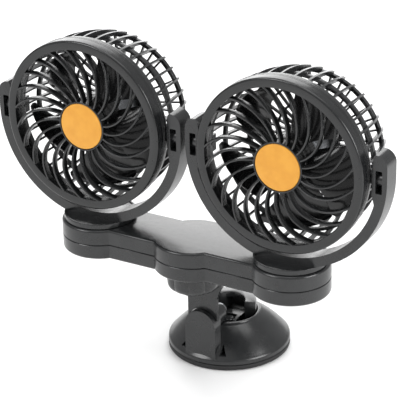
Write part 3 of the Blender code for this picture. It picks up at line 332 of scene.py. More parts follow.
class Finish:
    """A material under way: its node tree, its shader and the object's own coordinates."""

    def __init__(self, name, ior=1.5, metallic=0.0):
        self.material = bpy.data.materials.new(name)
        self.material.use_nodes = True
        self.tree = self.material.node_tree
        self.shader = self.tree.nodes["Principled BSDF"]
        self.shader.inputs["IOR"].default_value = ior
        self.shader.inputs["Metallic"].default_value = metallic
        self.spot = add(self.tree, "ShaderNodeTexCoord").outputs["Object"]

    def noise(self, size, detail, roughness, stretch=(1.0, 1.0, 1.0)):
        """Cloudy noise with lumps of about the given size in metres, drawn out where the stretch is small."""
        spot = add(self.tree, "ShaderNodeMapping", {"Scale": stretch}, {"Vector": self.spot})
        settings = {"Scale": 1.0 / size, "Detail": detail, "Roughness": roughness}
        cloud = add(self.tree, "ShaderNodeTexNoise", settings, {"Vector": spot.outputs["Vector"]})
        return cloud.outputs["Fac"]

    def ramp(self, pattern, low, high, least=0.0, most=1.0):
        """Maps a pattern's values between low and high onto the range from least to most."""
        return add(self.tree, "ShaderNodeMapRange",
                   {"From Min": low, "From Max": high, "To Min": least, "To Max": most},
                   {"Value": pattern}).outputs["Result"]

    def colour(self, dark, light, pattern, low, high):
        """Lets a pattern's values between low and high lead from one hex colour to the other."""
        node = add(self.tree, "ShaderNodeMix", {"data_type": "RGBA"})
        self.tree.links.new(self.ramp(pattern, low, high), node.inputs[0])
        node.inputs[6].default_value = linear(dark)
        node.inputs[7].default_value = linear(light)
        self.tree.links.new(node.outputs[2], self.shader.inputs["Base Color"])

    def gloss(self, pattern, low, high, smoothest, dullest):
        """Lets a pattern's values between low and high lead from smooth to dull."""
        roughness = self.ramp(pattern, low, high, smoothest, dullest)
        self.tree.links.new(roughness, self.shader.inputs["Roughness"])

    def relief(self, pattern, depth, strength, under=None):
        """A bump of the given real depth, on top of another."""
        links = {"Height": pattern} if under is None else {"Height": pattern, "Normal": under}
        bump = add(self.tree, "ShaderNodeBump", {"Distance": depth, "Strength": strength}, links)
        self.tree.links.new(bump.outputs["Normal"], self.shader.inputs["Normal"])
        return bump.outputs["Normal"]


def moulded_abs(name, dark, light, smoothest, dullest):
    """Injection-moulded ABS with a spark-eroded texture: an even fine grain that softens the highlights,
    slow changes of gloss where the melt flowed, and faint rubs."""
    made = Finish(name, ior=1.53)
    # flow marks some 9 mm long change the shade a little and make wide surfaces very slightly wavy
    flow = made.noise(size=0.009, detail=3.0, roughness=0.55)
    made.colour(dark, light, flow, low=0.35, high=0.68)
    waves = made.relief(flow, depth=0.00004, strength=0.25)
    # handling rubs about 3 mm across break up the highlights
    rubs = made.noise(size=0.003, detail=4.0, roughness=0.65)
    made.gloss(rubs, low=0.38, high=0.66, smoothest=smoothest, dullest=dullest)
    # the real grain is about 0.05 mm; drawn seven times coarser so that it shows
    grain = made.noise(size=0.00035, detail=2.0, roughness=0.6)
    made.relief(grain, depth=0.000002, strength=0.55, under=waves)
    return made.material


def gloss_abs(name, dark, light):
    """Polished-mould ABS of the blades: nearly mirror-smooth, with a slight moulding ripple and dust."""
    made = Finish(name, ior=1.53)
    # dust specks about 0.3 mm across, only where the fine noise peaks: paler and dull
    dust = made.noise(size=0.0003, detail=1.0, roughness=0.5)
    made.colour(dark, light, dust, low=0.66, high=0.74)
    made.gloss(dust, low=0.60, high=0.75, smoothest=0.14, dullest=0.38)
    # the ripple of thin moulded blades bends their reflections
    ripple = made.noise(size=0.012, detail=1.0, roughness=0.4)
    made.relief(ripple, depth=0.00012, strength=0.3)
    return made.material


def printed_disc(name, deep, bright):
    """Orange lacquered disc: satin print with a fine orange-peel skin and a faint pearl variation."""
    made = Finish(name)
    # the pearl shifts the orange slightly over some 6 mm
    cloud = made.noise(size=0.006, detail=2.0, roughness=0.5)
    made.colour(deep, bright, cloud, low=0.35, high=0.68)
    # orange peel of a sprayed lacquer, bumps about 0.6 mm apart
    peel = made.noise(size=0.0006, detail=1.0, roughness=0.5)
    made.gloss(peel, low=0.3, high=0.7, smoothest=0.30, dullest=0.42)
    made.relief(peel, depth=0.000008, strength=0.4)
    return made.material


def soft_rubber(name, dark, light):
    """Moulded black PVC rubber: matt, with a bloom of paler dust and a leathery fine skin."""
    made = Finish(name)
    # the bloom lies in patches some 5 mm wide, paler and duller than the rubber between
    bloom = made.noise(size=0.005, detail=4.0, roughness=0.6)
    made.colour(dark, light, bloom, low=0.4, high=0.7)
    made.gloss(bloom, low=0.35, high=0.7, smoothest=0.55, dullest=0.8)
    # the skin's fine creases keep it from shining evenly
    skin = made.noise(size=0.0005, detail=2.0, roughness=0.6)
    made.relief(skin, depth=0.00002, strength=0.5)
    return made.material


def plated_steel(name, dark, light):
    """Zinc-plated turned steel: grey metal with fine drawing lines and slow clouding."""
    made = Finish(name, metallic=1.0)
    # the plating clouds over some 4 mm
    cloud = made.noise(size=0.004, detail=3.0, roughness=0.5)
    made.colour(dark, light, cloud, low=0.35, high=0.7)
    # lines 0.12 mm apart along Y, drawn coarser than the real ones, stretch the highlights
    lines = made.noise(size=0.00012, detail=2.0, roughness=0.6, stretch=(1.0, 0.08, 1.0))
    made.gloss(lines, low=0.3, high=0.7, smoothest=0.24, dullest=0.42)
    made.relief(lines, depth=0.000005, strength=0.5)
    return made.material


def plain_nylon(name, dark, light):
    """Natural nylon washer: milky white and satin."""
    made = Finish(name, ior=1.53)
    # one slow cloud gives the milky depth, the change of gloss and a soft unevenness
    cloud = made.noise(size=0.003, detail=3.0, roughness=0.5)
    made.colour(dark, light, cloud, low=0.35, high=0.7)
    made.gloss(cloud, low=0.3, high=0.7, smoothest=0.4, dullest=0.55)
    made.relief(cloud, depth=0.00002, strength=0.3)
    return made.material


HOUSING = moulded_abs("moulded_black_abs", "#202122", "#262728", smoothest=0.20, dullest=0.27)
GRILLE = moulded_abs("moulded_grille_abs", "#18191a", "#1d1e1f", smoothest=0.20, dullest=0.28)
BLADES = gloss_abs("polished_black_abs", "#0e0e0f", "#343536")
DISC = printed_disc("orange_lacquer", "#df9a2c", "#e6a335")
RUBBER = soft_rubber("black_pvc_rubber", "#1c1c1d", "#2a2a2b")
STEEL = plated_steel("zinc_plated_steel", "#7c7e81", "#909295")
NYLON = plain_nylon("natural_nylon", "#d6d4cc", "#e2e0d9")


# Head: shapes about the middle of the trunnion axis, the fan's axis along Y

BEZEL_OUTER = 0.0525
BEZEL_INNER = 0.0469
BEZEL_FACE = -0.0130
BEZEL_BACK = -0.0042
GRILLE_BACK = -0.0084
CAGE_RIBS = 38
RIB_HALF_WIDTH = 0.00065


def band(radii, depths, edges, edge_steps, steps):
    """A ring round Y between two radii and two depths, each of its four edges with its own radius."""
    return ring(oblong(radii, depths, edges, edge_steps), steps, "Y")


def bezel_shape():
    """Section carried round Y: flat face, rounded outer edge, wall with two thin grooves, hollow back."""
    lip_depth, lip_width = 0.0001, 0.0003
    outer_edge, wall_inside = 0.0013, 0.0506
    groove_width, groove_depth, groove_slope = 0.0005, 0.00014, 0.0001
    groove_floor = BEZEL_OUTER - groove_depth
    corners = [(BEZEL_INNER, BEZEL_FACE + lip_depth, SOFT), (BEZEL_INNER + lip_width, BEZEL_FACE, 0.0),
               (BEZEL_OUTER, BEZEL_FACE, outer_edge)]
    for start in (-0.0070, -0.0056):
        end = start + groove_width
        corners += [(BEZEL_OUTER, start, 0.0), (groove_floor, start + groove_slope, 0.0),
                    (groove_floor, end - groove_slope, 0.0), (BEZEL_OUTER, end, 0.0)]
    corners += [(BEZEL_OUTER, BEZEL_BACK, SOFT), (wall_inside, BEZEL_BACK, CRISP),
                (wall_inside, GRILLE_BACK, CRISP), (BEZEL_INNER, GRILLE_BACK, SOFT)]
    return ring(filleted(corners, 5), BEZEL_STEPS, "Y")


def hub_shape():
    """Cup section carried round Y: thin raised rim with a seat inside for the disc."""
    middle, inside, outside = 0.0004, 0.0144, 0.0153
    rim, seat = -0.0132, -0.0115
    section = filleted([
        (middle, seat, 0.0), (inside, seat, FAINT), (inside, rim, CRISP),
        (outside, rim, ROUND), (outside, GRILLE_BACK, SOFT), (middle, GRILLE_BACK, 0.0),
    ])
    return ring(section, HUB_STEPS, "Y")


def spiral_ribs():
    """24 ribs. With the share t of its length, a rib's distance from the axis grows evenly from 14.9 to
    47.6 mm and its angle by 32 degrees times t to the power 1.59; its front edge bows forward by 2.6 mm
    times 4 t (1 - t). The section is a thin upright strip with soft edges, set square to the curve."""
    count, stations = 24, 33
    inside, outside = 0.0149, 0.0476
    sweep, power, first_angle = math.radians(32.0), 1.59, math.radians(9.75)
    front_end, bow = -0.0128, 0.0026
    half_width, depth, edges = 0.00062, 0.0042, (0.00045, 0.00045, 0.000225, 0.000225)
    share = np.linspace(0.0, 1.0, stations)
    span = outside - inside
    radius = inside + span * share
    slope = sweep * power * np.maximum(share, 1e-6) ** (power - 1.0) / span
    angle = first_angle + sweep * share ** power
    radial = np.stack([np.cos(angle), np.sin(angle)], axis=-1)
    around = np.stack([-np.sin(angle), np.cos(angle)], axis=-1)
    run = radial + around * (radius * slope)[:, None]
    run /= np.linalg.norm(run, axis=-1)[:, None]
    side = np.stack([-run[:, 1], run[:, 0]], axis=-1)
    section = oblong((-half_width, half_width), (0.0, depth), edges, 3)
    flat = (radial * radius[:, None])[:, None, :] + side[:, None, :] * section[None, :, 0:1]
    along = (front_end - bow * bulge(share))[:, None] + section[None, :, 1]
    points = np.stack([flat[..., 0], along, flat[..., 1]], axis=-1)
    return spun((points.reshape(-1, 3), tube_faces(stations, len(section))), count)


def disc_shape():
    """Bare disc in the hub's seat."""
    return puck(radius=0.0141, low=-0.0131, high=-0.0118, edge=ROUND, steps=HUB_STEPS, axis="Y")


def cage_rib_shape():
    """Side rib: straight to 3.6 mm behind the trunnion, then its outer edge comes in by 6.5 mm times the
    share of the rest to the power 1.8. It is 2.6 mm deep at the flange and 2.2 mm at its square tip."""
    start, straight_end, tip = -0.0010, 0.0036, 0.0341
    outer_start, taper, power = 0.0512, 0.0065, 1.8
    start_depth, tip_depth = 0.0026, 0.0022
    share = np.linspace(0.0, 1.0, 15)
    back = start + (tip - start) * share
    outer = outer_start - taper * np.maximum(0.0, (back - straight_end) / (tip - straight_end)) ** power
    inner = outer - start_depth + (start_depth - tip_depth) * share
    outline = np.concatenate([np.stack([outer, back], axis=-1), np.stack([inner, back], axis=-1)[::-1]])
    return prism(outline, -RIB_HALF_WIDTH, RIB_HALF_WIDTH)


def cage_flange_shape():
    """Flange section carried round Y: spigot inside the bezel, step, and band with a sloped rear edge."""
    inside, spigot, outside = 0.0488, 0.0503, 0.0516
    front, step, back = -0.0075, -0.0039, 0.0002
    slope = 0.0008
    return ring(filleted([
        (inside, front, CRISP), (spigot, front, CRISP), (spigot, step, 0.0), (outside, step, CRISP),
        (outside, back - slope, FULL), (outside - slope, back, CRISP), (inside, back, CRISP),
    ], 3), CAGE_STEPS, "Y")


def trunnion_lugs():
    """The round boss and the square lug that carry each pivot pin."""
    boss_radius, boss_start, boss_end = 0.0038, 0.0496, 0.0536
    lug_start, lug_end, lug_half_height = 0.0489, 0.0513, 0.0050
    lug_front, lug_back = -0.0038, 0.0044
    shapes = [rod(boss_radius, side * boss_start, side * boss_end, BORE_STEPS, "X") for side in WAYS]
    for side in WAYS:
        near, far = sorted((side * lug_start, side * lug_end))
        shapes.append(box((near, lug_front, -lug_half_height), (far, lug_back, lug_half_height)))
    return shapes


def cage_shape():
    """Basket: flange, mid ring, rear ring, motor mount, 38 side and 38 back ribs, two inner rings, lugs."""
    even, rear_edges, mount_edges = (SOFT,) * 4, (SOFT, SOFT, 0.0005, SOFT), (CRISP, SOFT, FULL, SOFT)
    mid_ring = band((0.0462, 0.0482), (0.0106, 0.0137), even, 2, CAGE_STEPS)
    rear_ring = band((0.0415, 0.0438), (0.0310, 0.0337), rear_edges, 3, CAGE_STEPS)
    mount = band((0.0036, 0.0160), (0.0311, 0.0340), mount_edges, 3, HUB_STEPS)
    inner_rings = [band(radii, (0.0315, 0.0333), even, 2, INNER_RING_STEPS)
                   for radii in ((0.0235, 0.0249), (0.0330, 0.0344))]
    back_half, back_low, back_high = 0.00052, (0.0150, 0.0315), (0.0432, 0.0334)
    back_rib = box((*back_low, -back_half), (*back_high, back_half))
    ribs = [spun(cage_rib_shape(), CAGE_RIBS), spun(back_rib, CAGE_RIBS)]
    return together([cage_flange_shape(), mid_ring, rear_ring, mount] + ribs + inner_rings + trunnion_lugs())


def blade_shape():
    """A blade as a grid of span by chord. With the share of the span, the distance from the axis grows from
    14.3 to 43 mm and the chord from 48 to 62 degrees, leaning back by 14. With the share u of the chord, the
    depth rises by 9 mm (13 mm at the tip), less 1.2 mm times 4 u (1 - u). The back face is the same grid
    1.4 mm deeper, thinned to a third at the blade's rim."""
    span_steps, chord_steps = 20, 24
    root, tip = 0.0143, 0.0430
    root_chord, chord_growth, lean = math.radians(48.0), math.radians(14.0), math.radians(14.0)
    corner_share, corner_cut = 0.14, 0.22
    front, root_rise, rise_growth, crown = -0.0030, 0.0090, 0.0040, 0.0012
    thickness, rim_thickness, rim_slope = 0.0014, 0.35, 6.0
    share = np.linspace(0.0, 1.0, span_steps)[:, None]
    along = np.linspace(0.0, 1.0, chord_steps)[None, :]
    radius = root + (tip - root) * share + 0.0 * along
    chord = root_chord + chord_growth * share
    # rounded outer corners: the chord shortens over the last part of the span
    chord = chord * (1.0 - corner_cut * np.clip((share - 1.0 + corner_share) / corner_share, 0.0, 1.0) ** 2)
    angle = -lean * share - chord / 2.0 + chord * along
    depth = front + (root_rise + rise_growth * share) * along - crown * bulge(along)
    edge = np.minimum(np.minimum(along, 1.0 - along), 1.0 - share) * rim_slope
    thick = thickness * (rim_thickness + (1.0 - rim_thickness) * np.clip(edge, 0.0, 1.0))
    across = radius * np.cos(angle)
    up = radius * np.sin(angle)
    front_face = np.stack([across, depth, up], axis=-1)
    back_face = np.stack([across, depth + thick, up], axis=-1)
    points = np.concatenate([front_face.reshape(-1, 3), back_face.reshape(-1, 3)])
    size = span_steps * chord_steps
    faces = grid_faces(span_steps, chord_steps, False, False)
    faces += grid_faces(span_steps, chord_steps, False, False, size)
    grid = np.arange(size).reshape(span_steps, chord_steps)
    border = np.concatenate([grid[0], grid[1:, -1], grid[-1, -2::-1], grid[-2:0:-1, 0]])
    after = np.roll(border, -1)
    faces += np.stack([border, after, after + size, border + size], axis=-1).tolist()
    return points, faces


def impeller_shape():
    """Hub bowl carried round Y, with five blades at equal turns."""
    bore, boss, inside, outside = 0.0018, 0.0038, 0.0134, 0.0150
    face, face_radius, shoulder, shoulder_edge = -0.0066, 0.0135, -0.0056, 0.0012
    floor, floor_edge, boss_end, back = -0.0040, 0.0010, 0.0040, 0.0074
    plug_radius, plug_end = 0.0019, -0.0033
    bowl = ring(filleted([
        (bore, face, 0.0), (face_radius, face, 0.0), (outside, shoulder, shoulder_edge),
        (outside, back, SOFT), (inside, back, SOFT), (inside, floor, floor_edge),
        (boss, floor, ROUND), (boss, boss_end, SOFT), (bore, boss_end, 0.0),
    ]), HUB_STEPS, "Y")
    return together([bowl, rod(plug_radius, face, plug_end, PIN_STEPS, "Y"), spun(blade_shape(), 5)])


def motor_shape():
    """Drawn can carried round Y: rounded edges and a crimped groove near the front."""
    radius, groove = 0.0122, 0.0119
    front, groove_start, groove_end, back = 0.0100, 0.0125, 0.0135, 0.0308
    slope = 0.0002
    section = [(0.0, front), (radius, front), (radius, groove_start), (groove, groove_start + slope),
               (groove, groove_end - slope), (radius, groove_end), (radius, back), (0.0, back)]
    return dome(filleted_open(section, SOFT), CAN_STEPS, "Y")


def trunnion_shape(way):
    """Stepped pin carried round X: thin end, fat barrel with soft edges, thin tip."""
    thin, fat, edge = 0.0022, 0.0042, 0.0003
    root, barrel_start, barrel_end, tip = 0.0506, 0.0539, 0.0602, 0.0616
    section = [(AXIS_GAP, root), (thin, root), (thin, barrel_start), (fat - edge, barrel_start),
               (fat, barrel_start + edge), (fat, barrel_end - edge), (fat - edge, barrel_end),
               (thin, barrel_end), (thin, tip), (AXIS_GAP, tip)]
    return dome([(radius, way * along) for radius, along in section], BARREL_STEPS, "X")


def screw_shape(way):
    """Pan head screw carried round Y, its head bevelled at the back."""
    off_axis, shank, head, bevel = 0.0080, 0.0012, 0.0024, 0.0006
    tip, under_head, back = 0.0270, 0.0344, 0.0356
    outline = [(AXIS_GAP, tip), (shank, tip), (shank, under_head), (head, under_head), (head, back - bevel),
               (head - bevel, back), (AXIS_GAP, back)]
    return dome(outline, BORE_STEPS, "Y", (way * off_axis, 0.0))


def build_heads():
    """Both heads: grille, disc, cage, motor, impeller, and on each side a trunnion and a screw."""
    grille = together([bezel_shape(), hub_shape(), spiral_ribs()])
    cage = cage_shape()
    impeller = impeller_shape()
    for prefix, side in SIDES:
        place = (side * HEAD_HALF_SPACING, TRUNNION_Y, TRUNNION_Z)
        rows = [("grille_fine", grille, "head", "front_grille", "black_satin", GRILLE),
                ("disc_fine", disc_shape(), "head", "hub_badge", "orange_disc", DISC),
                ("cage_fine", cage, "head", "rear_cage", "black_satin", HOUSING),
                ("motor_fine", motor_shape(), "head", "motor_can", "steel", STEEL),
                ("impeller_fine", impeller, "rotor", "impeller", "black_gloss", BLADES)]
        for at, way in (("inner", -side), ("outer", side)):
            pin, screw = trunnion_shape(way), screw_shape(way)
            rows += [("trunnion_" + at, pin, "head", "pivot_pin_" + at, "black_satin", HOUSING),
                     ("screw_" + at, screw, "head", "motor_screw_" + at, "steel", STEEL)]
        for name, shape, body, node, slot_name, finish in rows:
            piece(f"{prefix}_{name}", moved(shape, place), f"{prefix}_{body}", [f"{prefix}_{node}"],
                  finish)


# Yokes: the band about the trunnion, then the whole piece about the yoke's turning axis.
# From here on a round feature is often given as its radius, start and end.

YOKE_OUTER = 0.0635
YOKE_INNER = 0.0575
YOKE_HALF_DEPTH = 0.0060
TURNTABLE_BOTTOM = 0.0907
UP_TO_TRUNNION = np.array([0.0, TRUNNION_Z])


def yoke_outline():
    """U band in the XZ plane: outer arc, arm tops with a 7 mm corner, inner edge bulging at the trunnion."""
    corner, corner_up = 0.0070, 0.0090
    top_inside, top_inside_up = 0.0552, 0.0148
    bulge_inside, bulge_half, bulge_end = 0.0543, 0.0080, -0.0140
    half = [arc((0.0, 0.0), YOKE_OUTER, -QUARTER, 0.0, 48),
            arc((YOKE_OUTER - corner, corner_up), corner, 0.0, QUARTER, 12),
            np.array([(top_inside, top_inside_up), (bulge_inside, bulge_half), (bulge_inside, -bulge_half)]),
            arc((0.0, 0.0), YOKE_INNER, math.asin(bulge_end / YOKE_INNER), -QUARTER, 40)]
    right = np.concatenate(half)
    left = right[1:-1][::-1] * np.array([-1.0, 1.0])
    return np.concatenate([right, left])


def turntable_shape():
    """Flat disc carried round Z, its top dished inside a narrow rim."""
    radius, rim_inside, height, dish_height = 0.0220, 0.0206, 0.0030, 0.0022
    top, dish = TURNTABLE_BOTTOM + height, TURNTABLE_BOTTOM + dish_height
    return dome(filleted_open([(0.0, TURNTABLE_BOTTOM), (radius, TURNTABLE_BOTTOM), (radius, top),
                               (rim_inside, top), (rim_inside, dish), (0.0, dish)], SOFT), TABLE_STEPS)


def yoke_cuts(shift):
    """The screw hole in the spigot and, at each arm's front, the window on the trunnion."""
    hole = (0.0020, 0.0881, 0.0917)
    window_start, window_end, window_half = 0.0565, 0.0605, 0.0068
    window_front, window_back = -0.0063, 0.0046
    cuts = [rod(*hole, PIN_STEPS)]
    for side in WAYS:
        near, far = sorted((side * window_start, side * window_end))
        window = oblong((near, far), (-window_half, window_half), (FULL,) * 4, 3)
        cuts.append(prism(window + UP_TO_TRUNNION, shift + window_front, shift + window_back, "Y"))
    return cuts


def yoke_shape():
    """Band pushed 12 mm deep, joined to its turntable disc and spigot, windows and trunnion bores cut in."""
    spigot, spigot_bottom = 0.0060, 0.0884
    bore, bore_start, bore_end = 0.0045, 0.0537, 0.0571
    blind, blind_start, blind_end = 0.0025, 0.0599, 0.0619
    shift = TRUNNION_Y - WING_Y
    made = prism(yoke_outline() + UP_TO_TRUNNION, shift - YOKE_HALF_DEPTH, shift + YOKE_HALF_DEPTH, "Y")
    made = joined(made, turntable_shape())
    made = joined(made, rod(spigot, spigot_bottom, TURNTABLE_BOTTOM + SOFT))
    made = carved(made, yoke_cuts(shift))
    centre = (shift, TRUNNION_Z)
    bores = []
    for side in WAYS:
        bores.append(rod(bore, side * bore_start, side * bore_end, BARREL_STEPS, "X", centre))
        bores.append(rod(blind, side * blind_start, side * blind_end, BORE_STEPS, "X", centre))
    return carved(made, bores)


def build_yokes():
    """The same yoke on both sides."""
    shape = yoke_shape()
    for prefix, side in SIDES:
        place = (side * HEAD_HALF_SPACING, WING_Y, 0.0)
        piece(prefix + "_yoke_fine", moved(shape, place), prefix + "_yoke_body", [prefix + "_yoke"],
              HOUSING, ROUND)


# Wing, about its turning axis

WING_TOP = 0.0904
WING_BOTTOM = 0.0713
PARTING_ABOVE = 0.08075
PARTING_BELOW = 0.08045
WING_WALL = 0.0020
CORD_Z = 0.0774


def wing_outline(inset):
    """Plan of the wing drawn in by the inset: end lobes and middle lobe as arcs, met by the bar's edges."""
    bar_half, lobe_radius, middle_radius = 0.0170, 0.0235, 0.0242
    half = bar_half - inset
    lobe = lobe_radius - inset
    middle = middle_radius - inset
    lobe_angle = math.pi - math.asin(half / lobe)
    middle_angle = math.asin(half / middle)
    end = HEAD_HALF_SPACING
    return np.concatenate([
        arc((end, 0.0), lobe, -lobe_angle, lobe_angle, 56),
        arc((0.0, 0.0), middle, middle_angle, math.pi - middle_angle, 24),
        arc((-end, 0.0), lobe, math.pi - lobe_angle, math.pi + lobe_angle, 56),
        arc((0.0, 0.0), middle, math.pi + middle_angle, TURN - middle_angle, 24),
    ])


def shell_shape(far, near, edge, steps=6):
    """An open shell of the wing's plan: quarter-round edge at far, straight to near with a small bevel, in by
    the wall, and back along the inside."""
    turn = np.linspace(0.0, QUARTER, steps + 1)
    way = 1.0 if far > near else -1.0
    insets = [*(edge * (1.0 - np.sin(turn))), 0.0, SOFT, WING_WALL, WING_WALL]
    curve = far - way * edge * (1.0 - np.cos(turn))
    heights = [*curve, near + way * SOFT, near, near, far - way * WING_WALL]
    return loft([wing_outline(inset) for inset in insets], heights)


def upper_shell_shape():
    """Upper half of the wing, with the holes of the two yokes' spigots."""
    edge, hole = 0.0016, (0.0063, 0.0796, 0.0920)
    holes = [rod(*hole, centre=(side * HEAD_HALF_SPACING, 0.0)) for side in WAYS]
    return carved(shell_shape(WING_TOP, PARTING_ABOVE, edge), holes)


def lower_shell_shape():
    """Lower half of the wing: collar below the middle with its bore, four screw holes, cord hole behind."""
    collar, bore = (0.0130, 0.0664, 0.0726), (0.0090, 0.0661, 0.0746)
    screw, cord = (0.0032, 0.0716, 0.0747), (0.0026, 0.0202, 0.0260)
    edge, screw_out, screw_back = 0.0018, 0.0330, 0.0095
    shell = joined(shell_shape(WING_BOTTOM, PARTING_BELOW, edge), rod(*collar, HUB_STEPS))
    holes = [rod(*bore, BOSS_STEPS)]
    for side in WAYS:
        holes += [rod(*screw, BORE_STEPS, "Z", (side * screw_out, row * screw_back)) for row in WAYS]
    holes.append(rod(*cord, PIN_STEPS, "Y", (0.0, CORD_Z)))
    return carved(shell, holes)


def grommet_shape():
    """Spool section carried round Y: a flange on either side of the wing's wall."""
    bore, inner_flange, waist, outer_flange, outer_end = 0.0013, 0.0025, 0.0023, 0.0034, 0.0032
    wall_inside, wall_outside, flange = 0.0219, 0.0245, 0.0012
    return ring(filleted([
        (bore, wall_inside - flange, 0.0), (inner_flange, wall_inside - flange, SOFT),
        (inner_flange, wall_inside - SOFT, 0.0), (waist, wall_inside - SOFT, 0.0), (waist, wall_outside, 0.0),
        (outer_flange, wall_outside, CRISP), (outer_end, wall_outside + flange, ROUND),
        (bore, wall_outside + flange, SOFT),
    ], 3), GROMMET_STEPS, "Y", (0.0, CORD_Z))


def nut_shape():
    """Loops up the nut: a bowl whose radius grows as a quarter ellipse from 13.7 to 16.8 mm over 5 mm, then
    stays. At the angle a, ten flutes take 0.8 mm times (1 - |sin(5 a)| to the power 0.7) off the radius.
    The inside loops are circles."""
    flutes, flute_depth, flute_power = 10, 0.0008, 0.7
    bore, cavity, foot_radius, outer, rim = 0.0084, 0.0133, 0.0137, 0.0168, 0.0158
    bottom, bowl_height, floor, wall_top, top = 0.0582, 0.0050, 0.0620, 0.0713, 0.0718
    angle = np.linspace(0.0, TURN, NUT_STEPS, endpoint=False)
    spoke = np.stack([np.cos(angle), np.sin(angle)], axis=-1)
    wave = 1.0 - np.abs(np.sin(flutes * angle / 2.0)) ** flute_power

    def fluted(radius, depth):
        return spoke * (radius - depth * wave)[:, None]

    turn = np.linspace(0.0, QUARTER, 9)
    bowl_out = foot_radius + (outer - foot_radius) * np.sin(turn)
    bowl_up = bottom + bowl_height * (1.0 - np.cos(turn))
    loops = [spoke * bore, spoke * cavity]
    loops += [fluted(out, flute_depth * share) for out, share in zip(bowl_out, np.sin(turn))]
    loops += [fluted(outer, flute_depth), spoke * rim, spoke * cavity, spoke * cavity, spoke * bore]
    heights = [bottom, bottom, *bowl_up, wall_top, top, top, floor, floor]
    return loft(loops, heights, "Z", True)


def build_wing():
    """Both shells, the cord's grommet and the clamp nut."""
    place = (0.0, WING_Y, 0.0)
    rows = [("wing_top_fine", upper_shell_shape(), "wing", "wing_upper_shell", "black_satin", HOUSING),
            ("wing_bottom_fine", lower_shell_shape(), "wing", "wing_lower_shell", "black_satin", HOUSING),
            ("grommet_fine", grommet_shape(), "wing", "cord_grommet", "cup_rubber", RUBBER),
            ("nut_fine", nut_shape(), "nut", "clamp_nut", "black_satin", HOUSING)]
    for name, shape, body, node, slot_name, finish in rows:
        piece(name, moved(shape, place), body, [node], finish)


# Neck and foot, where they stand

NECK_HALF_WIDTH = 0.01005
NECK_TOP_HALF_WIDTH = 0.0138
NECK_FRONT = -0.0326
CRANK_BOTTOM = 0.0546
FLANGE_BOTTOM = 0.0568
HINGE_BORE = 0.0028
FOOT_RADIUS = 0.0380
FOOT_BOTTOM = 0.0033
WELL_FLOOR = 0.0094
LEVER_PIN_BORE = 0.0016
LEVER_PIN_HALF = 0.0200


def hinge_rod(radius, front, back, steps=BOSS_STEPS):
    """A rod on the hinge's axis, which runs along Y."""
    return rod(radius, front, back, steps, "Y", (0.0, HINGE_Z))


def plate_outline():
    """Front view of the neck's plate: straight sides that flare out to the crank through measured shares."""
    out_share = np.array([0.0, 0.23, 0.44, 0.71, 1.0])
    up_share = np.array([0.0, 0.30, 0.58, 0.81, 1.0])
    bottom, flare_start, flare_height = 0.0305, 0.0460, 0.0091
    step = np.linspace(0.0, 1.0, 13)
    out = NECK_HALF_WIDTH + (NECK_TOP_HALF_WIDTH - NECK_HALF_WIDTH) * np.interp(step, up_share, out_share)
    flare = np.stack([out, flare_start + flare_height * step], axis=-1)
    right = np.concatenate([[(NECK_HALF_WIDTH, bottom)], flare, [(NECK_TOP_HALF_WIDTH, FLANGE_BOTTOM)]])
    return np.concatenate([right, right[::-1] * np.array([-1.0, 1.0])])


def neck_flange_shape():
    """Stem and flange carried round the wing's turning axis."""
    stem, flange, flange_start, flange_end = 0.0078, 0.0124, 0.0623, 0.0648
    section = [(AXIS_GAP, FLANGE_BOTTOM), (stem, FLANGE_BOTTOM), (stem, flange_start),
               (flange, flange_start), (flange, flange_end), (AXIS_GAP, flange_end)]
    return dome(section, BOSS_STEPS, "Z", (0.0, WING_Y))


def neck_shape():
    """Crank, flange, flared front plate with an arched lower edge, web, hinge boss and barrel, bored."""
    crank_radius, crank_back, crank_top = 0.0086, -0.0190, 0.0571
    plate_back = -0.0303
    web_low, web_high = (-0.0020, -0.0306, 0.0310), (0.0020, -0.0175, 0.0552)
    arch, boss, barrel = (0.0109, -0.0329, -0.0286), (0.0092, -0.0289, -0.0262), (0.0070, -0.0265, -0.0155)
    bore = (HINGE_BORE, -0.0295, -0.0149)
    crank = np.concatenate([arc((0.0, WING_Y), crank_radius, -math.pi, 0.0, 32),
                            np.array([(crank_radius, crank_back), (-crank_radius, crank_back)])])
    made = joined(prism(crank, CRANK_BOTTOM, crank_top), neck_flange_shape())
    made = joined(made, prism(plate_outline(), NECK_FRONT, plate_back, "Y"))
    made = joined(made, box(web_low, web_high))
    made = carved(made, [hinge_rod(*arch, TABLE_STEPS)])
    made = joined(made, hinge_rod(*boss))
    made = joined(made, hinge_rod(*barrel))
    return carved(made, [hinge_rod(*bore, BORE_STEPS)])


